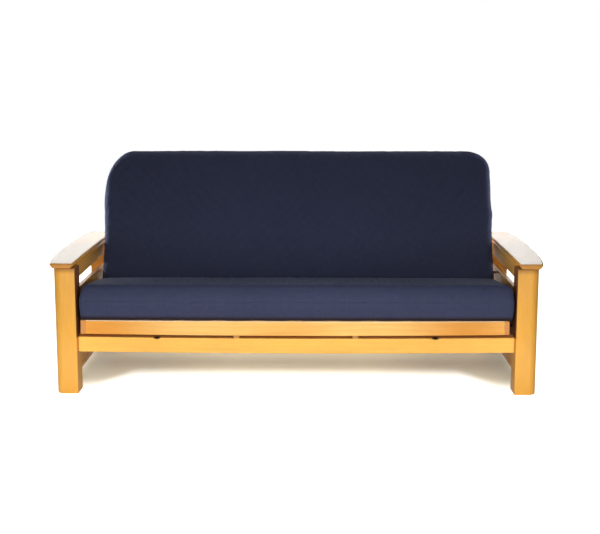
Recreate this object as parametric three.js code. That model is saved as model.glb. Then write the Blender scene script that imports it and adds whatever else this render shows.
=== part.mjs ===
// A fitted futon cover on its mattress, folded into a seat and a back, on the wooden sofa frame
// that holds it: two arms with ladder sides, two long rails and two slatted decks.
//
// Millimetres. +X runs to the right of someone who faces the sofa, +Y to the back, +Z up.
// The origin is on the floor, in the middle of the sofa's length and depth.

import * as THREE from 'three';

// ---------------------------------------------------------------- driving dimensions

const FIT = 0.3; // gap left between two wooden pieces that touch
const RESTING = 0.4; // gap left between the cover and the boards that carry it

const ARM = { length: 980, thickness: 24, top: 587, inner: 972, tip: 1070, bow: 31, corner: 20 };
const POST = { inner: 963, width: 96, depth: 104, setback: 8, round: 34, ease: 3 };
const SIDE_BOARD = { inner: 975, thickness: 22 };
const LONG_RAIL = { bottom: 186, height: 68, thickness: 22, setback: 24 };
const REST_BLOCK = { apart: 524, width: 26, depth: 14, height: 13.3, setback: 2 };
const REST_BATTEN = { bottom: 222, height: 41.5, thickness: 20 }; // behind the front rail

// Boards between the posts of each arm, from the arm top down to the floor.
const SIDE_BOARDS = [
  { name: 'apron', bottom: 500, top: ARM.top - ARM.thickness - FIT },
  { name: 'upper_slat', bottom: 366, top: 452 },
  { name: 'lower_slat', bottom: 195, top: 315 },
  { name: 'stretcher', bottom: 87, top: 172 },
];

// The fold: where the sitter's sides of the seat and the back meet, and how each of them tilts.
const FOLD = {
  y: 49,
  z: 425.5,
  seatSlope: THREE.MathUtils.degToRad(7),
  backLean: THREE.MathUtils.degToRad(20.7),
};

const COVER = {
  thickness: 156, // from the boards to the sitter's side
  seatRun: 524, // from the fold to the front face
  backRun: 651, // from the fold to the top
  crown: 8, // swell of the sitter's side
  creaseDepth: 8,
  creaseReach: 34,
  heel: 12, // how far the outer corner of the fold stands out past a plain arc
};

// How each edge rounds over from the seam: the reach of the rounding, and the power of its curve.
const EDGE = {
  sideInner: { reach: 42, power: 3 },
  sideOuter: { reach: 6, power: 2.4 },
  frontInner: { reach: 36, power: 2.2 },
  frontOuter: { reach: 40, power: 2.1 },
  topInner: { reach: 62, power: 2.2 },
  topOuter: { reach: 62, power: 2.2 },
};

// The four corners of the cover laid flat, as quarter ellipses. They are not alike.
const CORNER = {
  frontLeft: { across: 24, along: 12 },
  frontRight: { across: 26, along: 13 },
  topLeft: { across: 142, along: 220 },
  topRight: { across: 120, along: 110 },
};

// How far the side seams stand from the middle of the frame, at places from front to top.
const SIDE_SEAM = [
  { along: 0, left: 950, right: 953 },
  { along: 300, left: 950, right: 953 },
  { along: 560, left: 950, right: 950 },
  { along: 870, left: 945.5, right: 945 },
  { along: 950, left: 948, right: 949 },
  { along: 1010, left: 952.5, right: 944 },
  { along: 1110, left: 951, right: 943.5 },
  { along: 1280, left: 950, right: 948.5 },
];

const COVER_GRID = { edge: 6, across: 16, seat: 9, fold: 8, back: 12, crowding: 1.6 };

// Each deck is a frame of four rails with slats let in between the two long ones.
// Its two ends are not equally far from the middle, because it hangs a little to the left.
const DECK = { left: 945.5, right: 934.5, rail: 20, depth: 60 };
const SLATS = { count: 11, width: 64, thickness: 15 };
const SEAT_DECK = { start: 16, length: 556 }; // from the cover's front face
const BACK_DECK = { start: 78, length: 590 }; // from the outer corner of the fold

const PIN = { radius: 6, sides: 20 };
const SEAT_PIN = { y: -332, z: 281 };
const BACK_PIN = { y: 250, z: 420 };
const HINGE = { width: 22, thickness: 4, seatInset: 12, backInset: 12, drop: 48 };

// ---------------------------------------------------------------- materials

function wood(color) {
  return new THREE.MeshStandardMaterial({ color, roughness: 0.32, metalness: 0 });
}

function steel() {
  return new THREE.MeshStandardMaterial({ color: 0x8f9296, roughness: 0.35, metalness: 1 });
}

function twill() {
  return new THREE.MeshStandardMaterial({ color: 0x30344a, roughness: 0.9, metalness: 0 });
}

const OAK = 0xe9b25c;
const OAK_PALE = 0xf0c274;

// ---------------------------------------------------------------- plain wooden pieces

const sofa = new THREE.Group();

function named(name, geometry, material, parent = sofa) {
  const mesh = new THREE.Mesh(geometry, material);
  mesh.name = name;
  parent.add(mesh);
  return mesh;
}

// A board given by its lowest and highest corners.
function board(name, low, high, material, parent = sofa) {
  const size = high.map((value, axis) => value - low[axis]);
  const mesh = named(name, new THREE.BoxGeometry(...size), material, parent);
  mesh.position.set(...low.map((value, axis) => value + size[axis] / 2));
  return mesh;
}

const SIDES = [
  { name: 'left', sign: -1 },
  { name: 'right', sign: 1 },
];
const FRONT = -ARM.length / 2;
const REAR = ARM.length / 2;
const ARM_UNDERSIDE = ARM.top - ARM.thickness;

// The top of an arm: straight along the sitter, bowed along the outside, round at both outer ends.
function armOutline(sign) {
  const bowed = (y) => ARM.tip + ARM.bow * (1 - Math.abs((2 * y) / ARM.length) ** 3);
  const outline = new THREE.Shape();
  const steps = 24;
  const turn = 6;
  outline.moveTo(sign * ARM.inner, FRONT);
  for (const end of [-1, 1]) {
    const y = end * (REAR - ARM.corner);
    const x = bowed(y) - ARM.corner;
    for (let k = 0; k <= turn; k++) {
      const angle = (Math.PI / 2) * (end < 0 ? k / turn : 1 - k / turn);
      outline.lineTo(sign * (x + ARM.corner * Math.sin(angle)), y + end * ARM.corner * Math.cos(angle));
    }
    if (end < 0) {
      for (let k = 1; k < steps; k++) {
        const along = -y * ((2 * k) / steps - 1);
        outline.lineTo(sign * bowed(along), along);
      }
    }
  }
  outline.lineTo(sign * ARM.inner, REAR);
  outline.closePath();
  return outline;
}

// A post in plan: strongly rounded on its outer corner, which faces away from the sofa's middle.
function postOutline(sign, end) {
  const { width, depth, round, ease } = POST;
  const corners = [
    { x: -1, y: -1, radius: ease },
    { x: 1, y: -1, radius: round },
    { x: 1, y: 1, radius: ease },
    { x: -1, y: 1, radius: ease },
  ];
  const outline = new THREE.Shape();
  corners.forEach(({ x, y, radius }, index) => {
    const steps = radius > ease ? 8 : 2;
    for (let k = 0; k <= steps; k++) {
      const angle = Math.PI * (1 + index / 2) + (Math.PI / 2) * (k / steps);
      const px = x * (width / 2 - radius) + radius * Math.cos(angle);
      const py = y * (depth / 2 - radius) + radius * Math.sin(angle);
      const place = [sign * px, end * -py];
      if (index + k === 0) outline.moveTo(...place);
      else outline.lineTo(...place);
    }
  });
  outline.closePath();
  return outline;
}

function addArm({ name, sign }) {
  const top = new THREE.ExtrudeGeometry(armOutline(sign), { depth: ARM.thickness, bevelEnabled: false });
  named(`arm_top_${name}`, top, wood(OAK_PALE)).position.z = ARM_UNDERSIDE;

  const postCentre = POST.inner + POST.width / 2;
  const postReach = REAR - POST.setback - POST.depth / 2;
  const ends = [
    { name: 'front', end: -1 },
    { name: 'rear', end: 1 },
  ];
  for (const { name: place, end } of ends) {
    const options = { depth: ARM_UNDERSIDE - FIT, bevelEnabled: false };
    const post = new THREE.ExtrudeGeometry(postOutline(sign, end), options);
    named(`post_${place}_${name}`, post, wood(OAK)).position.set(sign * postCentre, end * postReach, 0);
  }

  const span = postReach - POST.depth / 2 - FIT;
  const faces = [sign * SIDE_BOARD.inner, sign * (SIDE_BOARD.inner + SIDE_BOARD.thickness)];
  for (const { name: piece, bottom, top: high } of SIDE_BOARDS) {
    const low = [Math.min(...faces), -span, bottom];
    board(`${piece}_${name}`, low, [Math.max(...faces), span, high], wood(OAK));
  }
}

function addLongRails() {
  const half = POST.inner - FIT;
  const top = LONG_RAIL.bottom + LONG_RAIL.height;
  const face = REAR - POST.setback - LONG_RAIL.setback;
  const rails = [
    { name: 'front_rail', near: -face, far: -face + LONG_RAIL.thickness },
    { name: 'rear_rail', near: face - LONG_RAIL.thickness, far: face },
  ];
  for (const { name, near, far } of rails) {
    board(name, [-half, near, LONG_RAIL.bottom], [half, far, top], wood(OAK_PALE));
  }
  const behind = -face + LONG_RAIL.thickness + FIT;
  const battenLow = [-half, behind, REST_BATTEN.bottom];
  const battenHigh = [half, behind + REST_BATTEN.thickness, REST_BATTEN.bottom + REST_BATTEN.height];
  board('rest_batten', battenLow, battenHigh, wood(OAK));
  for (const { name, sign } of SIDES) {
    const x = (sign * REST_BLOCK.apart) / 2;
    const y = -face + REST_BLOCK.setback;
    const low = [x - REST_BLOCK.width / 2, y, top + FIT];
    const high = [x + REST_BLOCK.width / 2, y + REST_BLOCK.depth, top + FIT + REST_BLOCK.height];
    board(`rest_block_${name}`, low, high, wood(OAK_PALE));
  }
}

// ---------------------------------------------------------------- the fold, in a side view

// Directions in the (y, z) plane: along the seat to the rear, along the back to the top, and the
// normals of both that point to the sitter.
const SEAT_ALONG = new THREE.Vector2(Math.cos(FOLD.seatSlope), -Math.sin(FOLD.seatSlope));
const BACK_ALONG = new THREE.Vector2(Math.sin(FOLD.backLean), Math.cos(FOLD.backLean));
const SEAT_NORMAL = new THREE.Vector2(-SEAT_ALONG.y, SEAT_ALONG.x);
const BACK_NORMAL = new THREE.Vector2(-BACK_ALONG.y, BACK_ALONG.x);
const CREASE = new THREE.Vector2(FOLD.y, FOLD.z);
const TURN = Math.PI / 2 - FOLD.backLean + FOLD.seatSlope;

function along(start, direction, distance) {
  return start.clone().addScaledVector(direction, distance);
}

// Where the two deck planes would meet, below the cover's outer corner.
const HEEL = along(
  along(CREASE, SEAT_NORMAL, -COVER.thickness),
  SEAT_ALONG,
  COVER.thickness * Math.tan(TURN / 2),
);

// ---------------------------------------------------------------- the two slatted decks

// A deck in its own frame: Y runs from its first long rail to its last, and Z = 0 is the face
// that carries the cover.
function addDeck({ name, firstRail, lastRail, length, at, tilt }) {
  const deck = new THREE.Group();
  deck.position.set(0, at.x, at.y);
  deck.rotation.x = tilt;
  sofa.add(deck);

  const { rail, depth } = DECK;
  const left = -(DECK.left - rail - FIT);
  const right = DECK.right - rail - FIT;
  board(`${name}_${firstRail}`, [left, 0, -depth], [right, rail, 0], wood(OAK_PALE), deck);
  board(`${name}_${lastRail}`, [left, length - rail, -depth], [right, length, 0], wood(OAK), deck);
  for (const { name: side, sign } of SIDES) {
    const faces = [sign * (DECK[side] - rail), sign * DECK[side]];
    const low = [Math.min(...faces), 0, -depth];
    board(`${name}_side_rail_${side}`, low, [Math.max(...faces), length, 0], wood(OAK), deck);
  }
  const pitch = (right - left) / SLATS.count;
  for (let k = 0; k < SLATS.count; k++) {
    const x = left + (k + 0.5) * pitch;
    const low = [x - SLATS.width / 2, rail + FIT, -SLATS.thickness];
    const high = [x + SLATS.width / 2, length - rail - FIT, 0];
    board(`${name}_slat_${k + 1}`, low, high, wood(OAK), deck);
  }
}

function addDecks() {
  const underSeat = along(CREASE, SEAT_NORMAL, -COVER.thickness - RESTING);
  const behindBack = along(HEEL, BACK_NORMAL, -RESTING);
  addDeck({
    name: 'seat',
    firstRail: 'front_rail',
    lastRail: 'rear_rail',
    length: SEAT_DECK.length,
    at: along(underSeat, SEAT_ALONG, SEAT_DECK.start - COVER.seatRun),
    tilt: -FOLD.seatSlope,
  });
  addDeck({
    name: 'back',
    firstRail: 'bottom_rail',
    lastRail: 'top_rail',
    length: BACK_DECK.length,
    at: along(behindBack, BACK_ALONG, BACK_DECK.start),
    tilt: Math.PI / 2 - FOLD.backLean,
  });
}

// ---------------------------------------------------------------- pins and hinge plates

// The decks hang between the arms on steel pins, and two plates hinge them to each other.
function addHardware() {
  const pins = [
    { name: 'seat_pin', ...SEAT_PIN },
    { name: 'back_pin', ...BACK_PIN },
  ];
  const seatEnd = along(
    along(CREASE, SEAT_NORMAL, -COVER.thickness - HINGE.drop),
    SEAT_ALONG,
    SEAT_DECK.start + SEAT_DECK.length - COVER.seatRun - HINGE.seatInset,
  );
  const backEnd = along(
    along(HEEL, BACK_NORMAL, -HINGE.drop),
    BACK_ALONG,
    BACK_DECK.start + HINGE.backInset,
  );
  const span = backEnd.clone().sub(seatEnd);
  for (const { name: side, sign } of SIDES) {
    const length = SIDE_BOARD.inner - DECK[side] - 2 * FIT;
    const middle = (SIDE_BOARD.inner + DECK[side]) / 2;
    for (const { name, y, z } of pins) {
      const shank = new THREE.CylinderGeometry(PIN.radius, PIN.radius, length, PIN.sides);
      const pin = named(`${name}_${side}`, shank, steel());
      pin.rotation.z = Math.PI / 2;
      pin.position.set(sign * middle, y, z);
    }
    const size = [HINGE.thickness, span.length() + HINGE.width, HINGE.width];
    const plate = named(`deck_hinge_${side}`, new THREE.BoxGeometry(...size), steel());
    const x = sign * (DECK[side] + FIT + HINGE.thickness / 2);
    plate.position.set(x, (seatEnd.x + backEnd.x) / 2, (seatEnd.y + backEnd.y) / 2);
    plate.rotation.x = span.angle();
  }
}

// ---------------------------------------------------------------- the cover on its mattress

// Share of the full half thickness at a distance from the seam.
function rounding(distance, { reach, power }) {
  if (distance >= reach) return 1;
  return (1 - (1 - distance / reach) ** power) ** (1 / power);
}

// How far a rounded corner of the outline draws in, at a distance from the side seam.
function cornerDraw(distance, { across, along: depth }) {
  if (distance >= across) return 0;
  return depth * (1 - Math.sqrt(1 - (1 - distance / across) ** 2));
}

function sideSeam(place, column) {
  const last = SIDE_SEAM.length - 1;
  const next = Math.min(Math.max(SIDE_SEAM.findIndex((row) => row.along > place), 1), last);
  const from = SIDE_SEAM[next - 1];
  const to = SIDE_SEAM[next];
  const share = THREE.MathUtils.clamp((place - from.along) / (to.along - from.along), 0, 1);
  return THREE.MathUtils.lerp(from[column], to[column], THREE.MathUtils.smoothstep(share, 0, 1));
}

const HALF = COVER.thickness / 2;
const ARC = HALF * TURN;
const FULL = COVER.seatRun + ARC + COVER.backRun;

// Middle of the mattress at a distance from the front face, and the normal to the sitter there.
function midLine(place) {
  const onSeat = Math.min(place, COVER.seatRun);
  const onBack = Math.max(place - COVER.seatRun - ARC, 0);
  const turned = THREE.MathUtils.clamp((place - COVER.seatRun) / ARC, 0, 1) * TURN;
  const normal = SEAT_NORMAL.clone().rotateAround(new THREE.Vector2(), turned);
  const point = along(CREASE, normal, -HALF);
  point.addScaledVector(SEAT_ALONG, onSeat - COVER.seatRun);
  point.addScaledVector(BACK_ALONG, onBack);
  return { point, normal, turned: turned / TURN };
}

// Swell of the seat or of the back, nothing at their ends and sides.
function crown(place, across) {
  const onSeat = place < COVER.seatRun;
  const start = onSeat ? 0 : COVER.seatRun + ARC;
  const run = onSeat ? COVER.seatRun : COVER.backRun;
  const share = THREE.MathUtils.clamp((2 * (place - start)) / run - 1, -1, 1);
  return COVER.crown * (1 - share ** 4) * (1 - across ** 4);
}

function crease(place) {
  const distance = Math.abs(place - COVER.seatRun - ARC / 2);
  return COVER.creaseDepth * Math.exp(-distance / COVER.creaseReach);
}

// Distances from the seam that follow the rounding, closest together at the seam.
function edgeSteps(reach) {
  const { edge } = COVER_GRID;
  return [...Array(edge).keys()].map((k) => reach * (1 - Math.cos((k / edge) * (Math.PI / 2))));
}

// Lines that run from front to top, each at its distance from the left and the right seam.
function coverLines() {
  const { across } = COVER_GRID;
  const width = SIDE_SEAM[0].left + SIDE_SEAM[0].right;
  const reach = EDGE.sideInner.reach;
  const near = edgeSteps(reach);
  const middle = [...Array(across + 1).keys()].map((k) => reach + (width - 2 * reach) * (k / across));
  const distances = [...near, ...middle, ...near.map((value) => width - value).reverse()];
  return distances.map((left) => ({ left, right: width - left, share: left / width }));
}

// Places along one line, from its front end to its top end, crowded at the ends and the fold.
function coverPlaces(first, last) {
  const { seat, fold, back, crowding } = COVER_GRID;
  const front = edgeSteps(EDGE.frontInner.reach).map((value) => first + value);
  const top = edgeSteps(EDGE.topInner.reach).map((value) => last - value).reverse();
  const seatLength = COVER.seatRun - first - EDGE.frontInner.reach;
  const backLength = last - EDGE.topInner.reach - COVER.seatRun - ARC;
  const places = [...front];
  for (let k = seat; k > 0; k--) places.push(COVER.seatRun - seatLength * (k / seat) ** crowding);
  for (let k = 0; k <= fold; k++) places.push(COVER.seatRun + (ARC * k) / fold);
  for (let k = 1; k <= back; k++) places.push(COVER.seatRun + ARC + backLength * (k / back) ** crowding);
  return [...places, ...top];
}

function coverPoint({ left, right, share }, place, first, last) {
  const { point, normal, turned } = midLine(place);
  const side = Math.min(left, right);
  const x = THREE.MathUtils.lerp(-sideSeam(place, 'left'), sideSeam(place, 'right'), share);
  const ends = (front, top) => rounding(place - first, front) * rounding(last - place, top);
  const swell = HALF + crown(place, 2 * share - 1) - crease(place);
  const heel = HALF + COVER.heel * Math.sin(Math.PI * turned) ** 2;
  const inner = swell * rounding(side, EDGE.sideInner) * ends(EDGE.frontInner, EDGE.topInner);
  const outer = heel * rounding(side, EDGE.sideOuter) * ends(EDGE.frontOuter, EDGE.topOuter);
  return {
    inner: [x, point.x + normal.x * inner, point.y + normal.y * inner],
    outer: [x, point.x - normal.x * outer, point.y - normal.y * outer],
  };
}

// Two sheets, one to the sitter and one to the boards, that share the seam all the way round.
function coverGeometry() {
  const positions = [];
  const vertex = (place) => positions.push(...place) / 3 - 1;
  const lines = coverLines();
  const sheets = { inner: [], outer: [] };
  lines.forEach((line, i) => {
    const first = cornerDraw(line.left, CORNER.frontLeft) + cornerDraw(line.right, CORNER.frontRight);
    const drawn = cornerDraw(line.left, CORNER.topLeft) + cornerDraw(line.right, CORNER.topRight);
    const last = FULL - drawn;
    const places = coverPlaces(first, last);
    sheets.inner.push([]);
    sheets.outer.push([]);
    places.forEach((place, j) => {
      const { inner, outer } = coverPoint(line, place, first, last);
      const onSeam = i === 0 || j === 0 || i === lines.length - 1 || j === places.length - 1;
      const index = vertex(inner);
      sheets.inner[i].push(index);
      sheets.outer[i].push(onSeam ? index : vertex(outer));
    });
  });
  const triangles = [];
  for (const [name, sheet] of Object.entries(sheets)) {
    for (let i = 0; i + 1 < sheet.length; i++) {
      for (let j = 0; j + 1 < sheet[i].length; j++) {
        const quad = [sheet[i][j], sheet[i + 1][j], sheet[i + 1][j + 1], sheet[i][j + 1]];
        if (name === 'outer') quad.reverse();
        triangles.push(quad[0], quad[1], quad[2], quad[0], quad[2], quad[3]);
      }
    }
  }
  const geometry = new THREE.BufferGeometry();
  geometry.setAttribute('position', new THREE.Float32BufferAttribute(positions, 3));
  geometry.setIndex(triangles);
  return geometry;
}

// ---------------------------------------------------------------- assembly

SIDES.forEach(addArm);
addLongRails();
addDecks();
addHardware();
named('futon_cover', coverGeometry(), twill());

export default sofa;
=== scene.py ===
"""Looks of a fitted futon cover on its mattress and wooden sofa frame.

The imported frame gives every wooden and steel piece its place. This script dresses them: the cover
becomes a simulated, sewn bag of cotton twill, and the boards get eased edges, grain and lacquer.
Metres, +X to the right of someone who faces the sofa, +Y to the back, +Z up.
"""

import logging
import math
from dataclasses import dataclass
from enum import Enum
from typing import Callable, Iterable, Sequence

import bmesh
import bpy
import numpy as np
from mathutils import Matrix, Vector, noise


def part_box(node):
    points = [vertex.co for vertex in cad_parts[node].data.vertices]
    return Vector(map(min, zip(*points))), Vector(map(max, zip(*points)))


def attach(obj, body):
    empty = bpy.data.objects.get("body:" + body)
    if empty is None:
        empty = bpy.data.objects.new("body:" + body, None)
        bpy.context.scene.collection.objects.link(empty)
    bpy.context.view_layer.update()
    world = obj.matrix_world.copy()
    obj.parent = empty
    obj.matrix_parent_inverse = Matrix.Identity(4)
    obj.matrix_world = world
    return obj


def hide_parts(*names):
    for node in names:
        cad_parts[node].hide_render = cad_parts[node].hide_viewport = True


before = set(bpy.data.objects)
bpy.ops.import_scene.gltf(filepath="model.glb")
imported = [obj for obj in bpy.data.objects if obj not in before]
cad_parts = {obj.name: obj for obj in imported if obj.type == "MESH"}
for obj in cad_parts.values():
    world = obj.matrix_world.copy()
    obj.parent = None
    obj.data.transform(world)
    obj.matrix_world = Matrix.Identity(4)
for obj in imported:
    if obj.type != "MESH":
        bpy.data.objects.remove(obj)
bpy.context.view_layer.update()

log = logging.getLogger("futon")

Colour = tuple[float, float, float, float]
Place = tuple[float, float, float]
Span = tuple[float, float]
Grids = dict[str, np.ndarray]
Inputs = dict[str | int, object]

BODY = "root"
MM = 0.001


class Side(Enum):
    """The two ends of the sofa, as the sign of X."""

    LEFT = -1
    RIGHT = 1

    @property
    def label(self) -> str:
        """The word used in node names."""
        return self.name.lower()


class Slot(Enum):
    """The material slots of the record."""

    CLOTH = "cover_twill"
    HONEY = "honey_wood"
    PALE = "pale_wood"
    STEEL = "steel"


class Socket(Enum):
    """What a socket of a node tree carries."""

    NUMBER = "NodeSocketFloat"
    COUNT = "NodeSocketInt"
    VECTOR = "NodeSocketVector"
    COLOUR = "NodeSocketColor"
    MATERIAL = "NodeSocketMaterial"
    GEOMETRY = "NodeSocketGeometry"


# ------------------------------ shared helpers


def put(name: str, data: bpy.types.ID) -> bpy.types.Object:
    """Makes an object of a mesh, curve, lamp or camera and links it to the scene.

    Args:
        name: name of the new object.
        data: what it shows.

    Returns:
        The new object, at the origin.
    """
    made = bpy.data.objects.new(name, data)
    bpy.context.scene.collection.objects.link(made)
    return made


def new_mesh(name: str, points: np.ndarray, faces: Sequence[Sequence[int]]) -> bpy.types.Object:
    """Makes an object from points and faces.

    Args:
        name: name of the new object.
        points: vertex places, one row each, in metres.
        faces: vertex indices of each face.

    Returns:
        The new object.
    """
    mesh = bpy.data.meshes.new(name)
    mesh.from_pydata([tuple(point) for point in points], [], [tuple(face) for face in faces])
    mesh.update()
    return put(name, mesh)


def read_rows(
    items: bpy.types.bpy_prop_collection, name: str, width: int = 3, kind: type = np.float32
) -> np.ndarray:
    """Reads a row of numbers from each item of a mesh.

    Args:
        items: the vertices, faces, corners or attribute values.
        name: name of the property.
        width: how many numbers each item has.
        kind: type of the numbers.

    Returns:
        The rows.
    """
    values = np.empty(len(items) * width, kind)
    items.foreach_get(name, values)
    return values.reshape(-1, width)


def vertices_of(piece: bpy.types.Object) -> np.ndarray:
    """The vertex places of a mesh object, one row each."""
    return read_rows(piece.data.vertices, "co").astype(float)


def store_vectors(piece: bpy.types.Object, name: str, values: np.ndarray) -> None:
    """Stores one vector for each vertex of a mesh object under a name."""
    layer = piece.data.attributes.get(name) or piece.data.attributes.new(name, "FLOAT_VECTOR", "POINT")
    layer.data.foreach_set("vector", values.astype(np.float32).ravel())


def store_numbers(piece: bpy.types.Object, name: str, domain: str, values: Sequence[float]) -> None:
    """Stores one number for each face or point of a mesh object under a name."""
    layer = piece.data.attributes.new(name, "FLOAT", domain)
    layer.data.foreach_set("value", np.asarray(values, np.float32))


def shade_smooth(piece: bpy.types.Object) -> None:
    """Marks every face of a mesh object as smooth."""
    piece.data.polygons.foreach_set("use_smooth", [True] * len(piece.data.polygons))
    piece.data.update()


def turn_outwards(piece: bpy.types.Object) -> None:
    """Makes the faces of a closed mesh point outwards.

    Args:
        piece: the mesh object.
    """
    shape = bmesh.new()
    shape.from_mesh(piece.data)
    bmesh.ops.recalc_face_normals(shape, faces=shape.faces)
    shape.to_mesh(piece.data)
    shape.free()


def apply_modifiers(piece: bpy.types.Object) -> bpy.types.Object:
    """Turns a piece's modifiers into a plain mesh and removes them.

    Args:
        piece: a mesh object, or a curve, which is taken away.

    Returns:
        The mesh object.
    """
    graph = bpy.context.evaluated_depsgraph_get()
    made = bpy.data.meshes.new_from_object(
        piece.evaluated_get(graph), preserve_all_data_layers=True, depsgraph=graph
    )
    piece.modifiers.clear()
    if piece.type == "MESH":
        piece.data = made
        return piece
    name = piece.name
    bpy.data.objects.remove(piece)
    return put(name, made)


@dataclass(frozen=True)
class Coating:
    """A finish that is ready for pieces: its material and the record's slot for it."""

    material: bpy.types.Material
    slot: Slot


def hand_over(piece: bpy.types.Object, coating: Coating, names: Sequence[str] = ()) -> None:
    """Gives a finished piece its material, its body and the nodes that it stands for.

    Args:
        piece: the finished mesh object.
        coating: its finish.
        names: CAD nodes that the piece is shown in place of.
    """
    piece.data.materials.clear()
    piece.data.materials.append(coating.material)
    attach(piece, BODY)
    if names:
        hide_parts(*names)
    log.info("%s: %d faces", piece.name, len(piece.data.polygons))


# ------------------------------ node trees


def operator(name: str, swapped: bool = False) -> Callable[["Signal", "Signal | float"], "Signal"]:
    """A method that adds a Math node on its own signal and another value.

    Args:
        name: what the node does.
        swapped: whether the other value comes first.

    Returns:
        The method.
    """

    def work_out(own: "Signal", other: "Signal | float") -> "Signal":
        """Adds the node and returns its result."""
        return own.nodes.math(name, *((other, own) if swapped else (own, other)))

    return work_out


class Signal:
    """One output of a node. Sums, products and powers of signals add Math nodes."""

    def __init__(self, nodes: "Nodes", socket: bpy.types.NodeSocket) -> None:
        """Keeps the socket and the nodes that it belongs to."""
        self.nodes = nodes
        self.socket = socket

    __add__ = __radd__ = operator("ADD")
    __sub__ = operator("SUBTRACT")
    __rsub__ = operator("SUBTRACT", swapped=True)
    __mul__ = __rmul__ = operator("MULTIPLY")
    __truediv__ = operator("DIVIDE")
    __pow__ = operator("POWER")


class Nodes:
    """Adds and links the nodes of one tree."""

    def __init__(self, tree: bpy.types.NodeTree) -> None:
        """Keeps the tree that the nodes go into."""
        self.tree = tree

    def feed(self, socket: bpy.types.NodeSocket, value: object) -> None:
        """Links an input to a signal, or sets its plain value.

        Args:
            socket: the input.
            value: the signal or value.
        """
        if isinstance(value, Signal):
            self.tree.links.new(value.socket, socket)
        else:
            socket.default_value = value

    def add(self, kind: str, inputs: Inputs | None = None, **values: object) -> bpy.types.Node:
        """Adds a node, sets its properties and feeds its inputs.

        Args:
            kind: type of the node.
            inputs: signal or value of each input, by its name or number.
            values: the node's own properties.

        Returns:
            The new node.
        """
        made = self.tree.nodes.new(kind)
        for name, value in values.items():
            setattr(made, name, value)
        for name, value in (inputs or {}).items():
            self.feed(made.inputs[name], value)
        return made

    def one(self, kind: str, output: str | int, inputs: Inputs, **values: object) -> Signal:
        """Adds a node and returns the output with the given name or number."""
        return Signal(self, self.add(kind, inputs, **values).outputs[output])

    def all(self, kind: str, inputs: Inputs, **values: object) -> dict[str, Signal]:
        """Adds a node and returns all its outputs by name."""
        return {socket.name: Signal(self, socket) for socket in self.add(kind, inputs, **values).outputs}

    def math(self, operation: str, *values: "Signal | float", clamp: bool = False) -> Signal:
        """Adds a Math node on the given values and returns its result."""
        return self.one("ShaderNodeMath", 0, dict(enumerate(values)), operation=operation, use_clamp=clamp)

    def split(self, vector: Signal) -> dict[str, Signal]:
        """The X, Y and Z of a vector."""
        return self.all("ShaderNodeSeparateXYZ", {0: vector})

    def open_sockets(self, inputs: dict[str, Socket], outputs: dict[str, Socket]) -> None:
        """Gives the tree of a group its named sockets.

        Args:
            inputs: what each input carries.
            outputs: what each output carries.
        """
        face = self.tree.interface
        self.keys: dict[str, str] = {}
        for name, kind in inputs.items():
            self.keys[name] = face.new_socket(name, in_out="INPUT", socket_type=kind.value).identifier
        for name, kind in outputs.items():
            face.new_socket(name, in_out="OUTPUT", socket_type=kind.value)
        into = self.tree.nodes.new("NodeGroupInput")
        self.given = {name: Signal(self, into.outputs[name]) for name in inputs}
        self.out = self.tree.nodes.new("NodeGroupOutput").inputs


class Shading(Nodes):
    """The nodes of a material, of the surroundings or of a shader group."""

    def scaled(self, vector: Signal, scale: Place) -> Signal:
        """Scales a vector."""
        return self.one("ShaderNodeMapping", "Vector", {"Vector": vector, "Scale": scale})

    def noise(self, vector: Signal, scale: float, detail: float = 2.0, roughness: float = 0.5) -> Signal:
        """Adds cloudy noise, finer with its scale and richer with its detail."""
        inputs = {"Vector": vector, "Scale": scale, "Detail": detail, "Roughness": roughness}
        return self.one("ShaderNodeTexNoise", "Fac", inputs)

    def ramp(self, value: Signal, low: float, high: float) -> Signal:
        """Spreads a value from low..high to 0..1 with soft ends."""
        inputs = {"Value": value, "From Min": low, "From Max": high}
        return self.one("ShaderNodeMapRange", "Result", inputs, interpolation_type="SMOOTHSTEP")

    def mix(self, share: Signal, first: Signal | Colour, second: Signal | Colour) -> Signal:
        """Mixes a share of the second colour into the first."""
        return self.one("ShaderNodeMix", 2, {0: share, 6: first, 7: second}, data_type="RGBA")

    def attribute(self, name: str, output: str = "Fac") -> Signal:
        """Reads what a piece's mesh stores under a name."""
        return self.one("ShaderNodeAttribute", output, {}, attribute_name=name)

    def object_place(self) -> Signal:
        """The place on the piece, in metres."""
        return self.one("ShaderNodeTexCoord", "Object", {})

    def use(self, group: str, inputs: dict[str, object]) -> dict[str, Signal]:
        """Places a shared group and returns its outputs by name."""
        return self.all("ShaderNodeGroup", inputs, node_tree=bpy.data.node_groups[group])


def open_group(name: str, inputs: dict[str, Socket], outputs: dict[str, Socket]) -> Shading:
    """Starts a shader node group with named sockets.

    Args:
        name: name of the group.
        inputs: what each input carries.
        outputs: what each output carries.

    Returns:
        The group's nodes.
    """
    group = Shading(bpy.data.node_groups.new(name, "ShaderNodeTree"))
    group.open_sockets(inputs, outputs)
    return group


def build_soft_variation() -> None:
    """Slow, cloudy change of tone, as handling, light and dye give to any large surface."""
    group = open_group(
        "soft_variation",
        {"Place": Socket.VECTOR, "Depth": Socket.NUMBER},
        {"Tone": Socket.NUMBER, "Patch": Socket.NUMBER},
    )
    broad = group.noise(group.given["Place"], 2.1, detail=3.0)
    fine = group.noise(group.given["Place"], 11.0, detail=4.0, roughness=0.6)
    both = broad * 0.65 + fine * 0.35
    group.feed(group.out["Tone"], (both - 0.5) * group.given["Depth"] + 1.0)
    group.feed(group.out["Patch"], group.ramp(fine, 0.35, 0.7))


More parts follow.
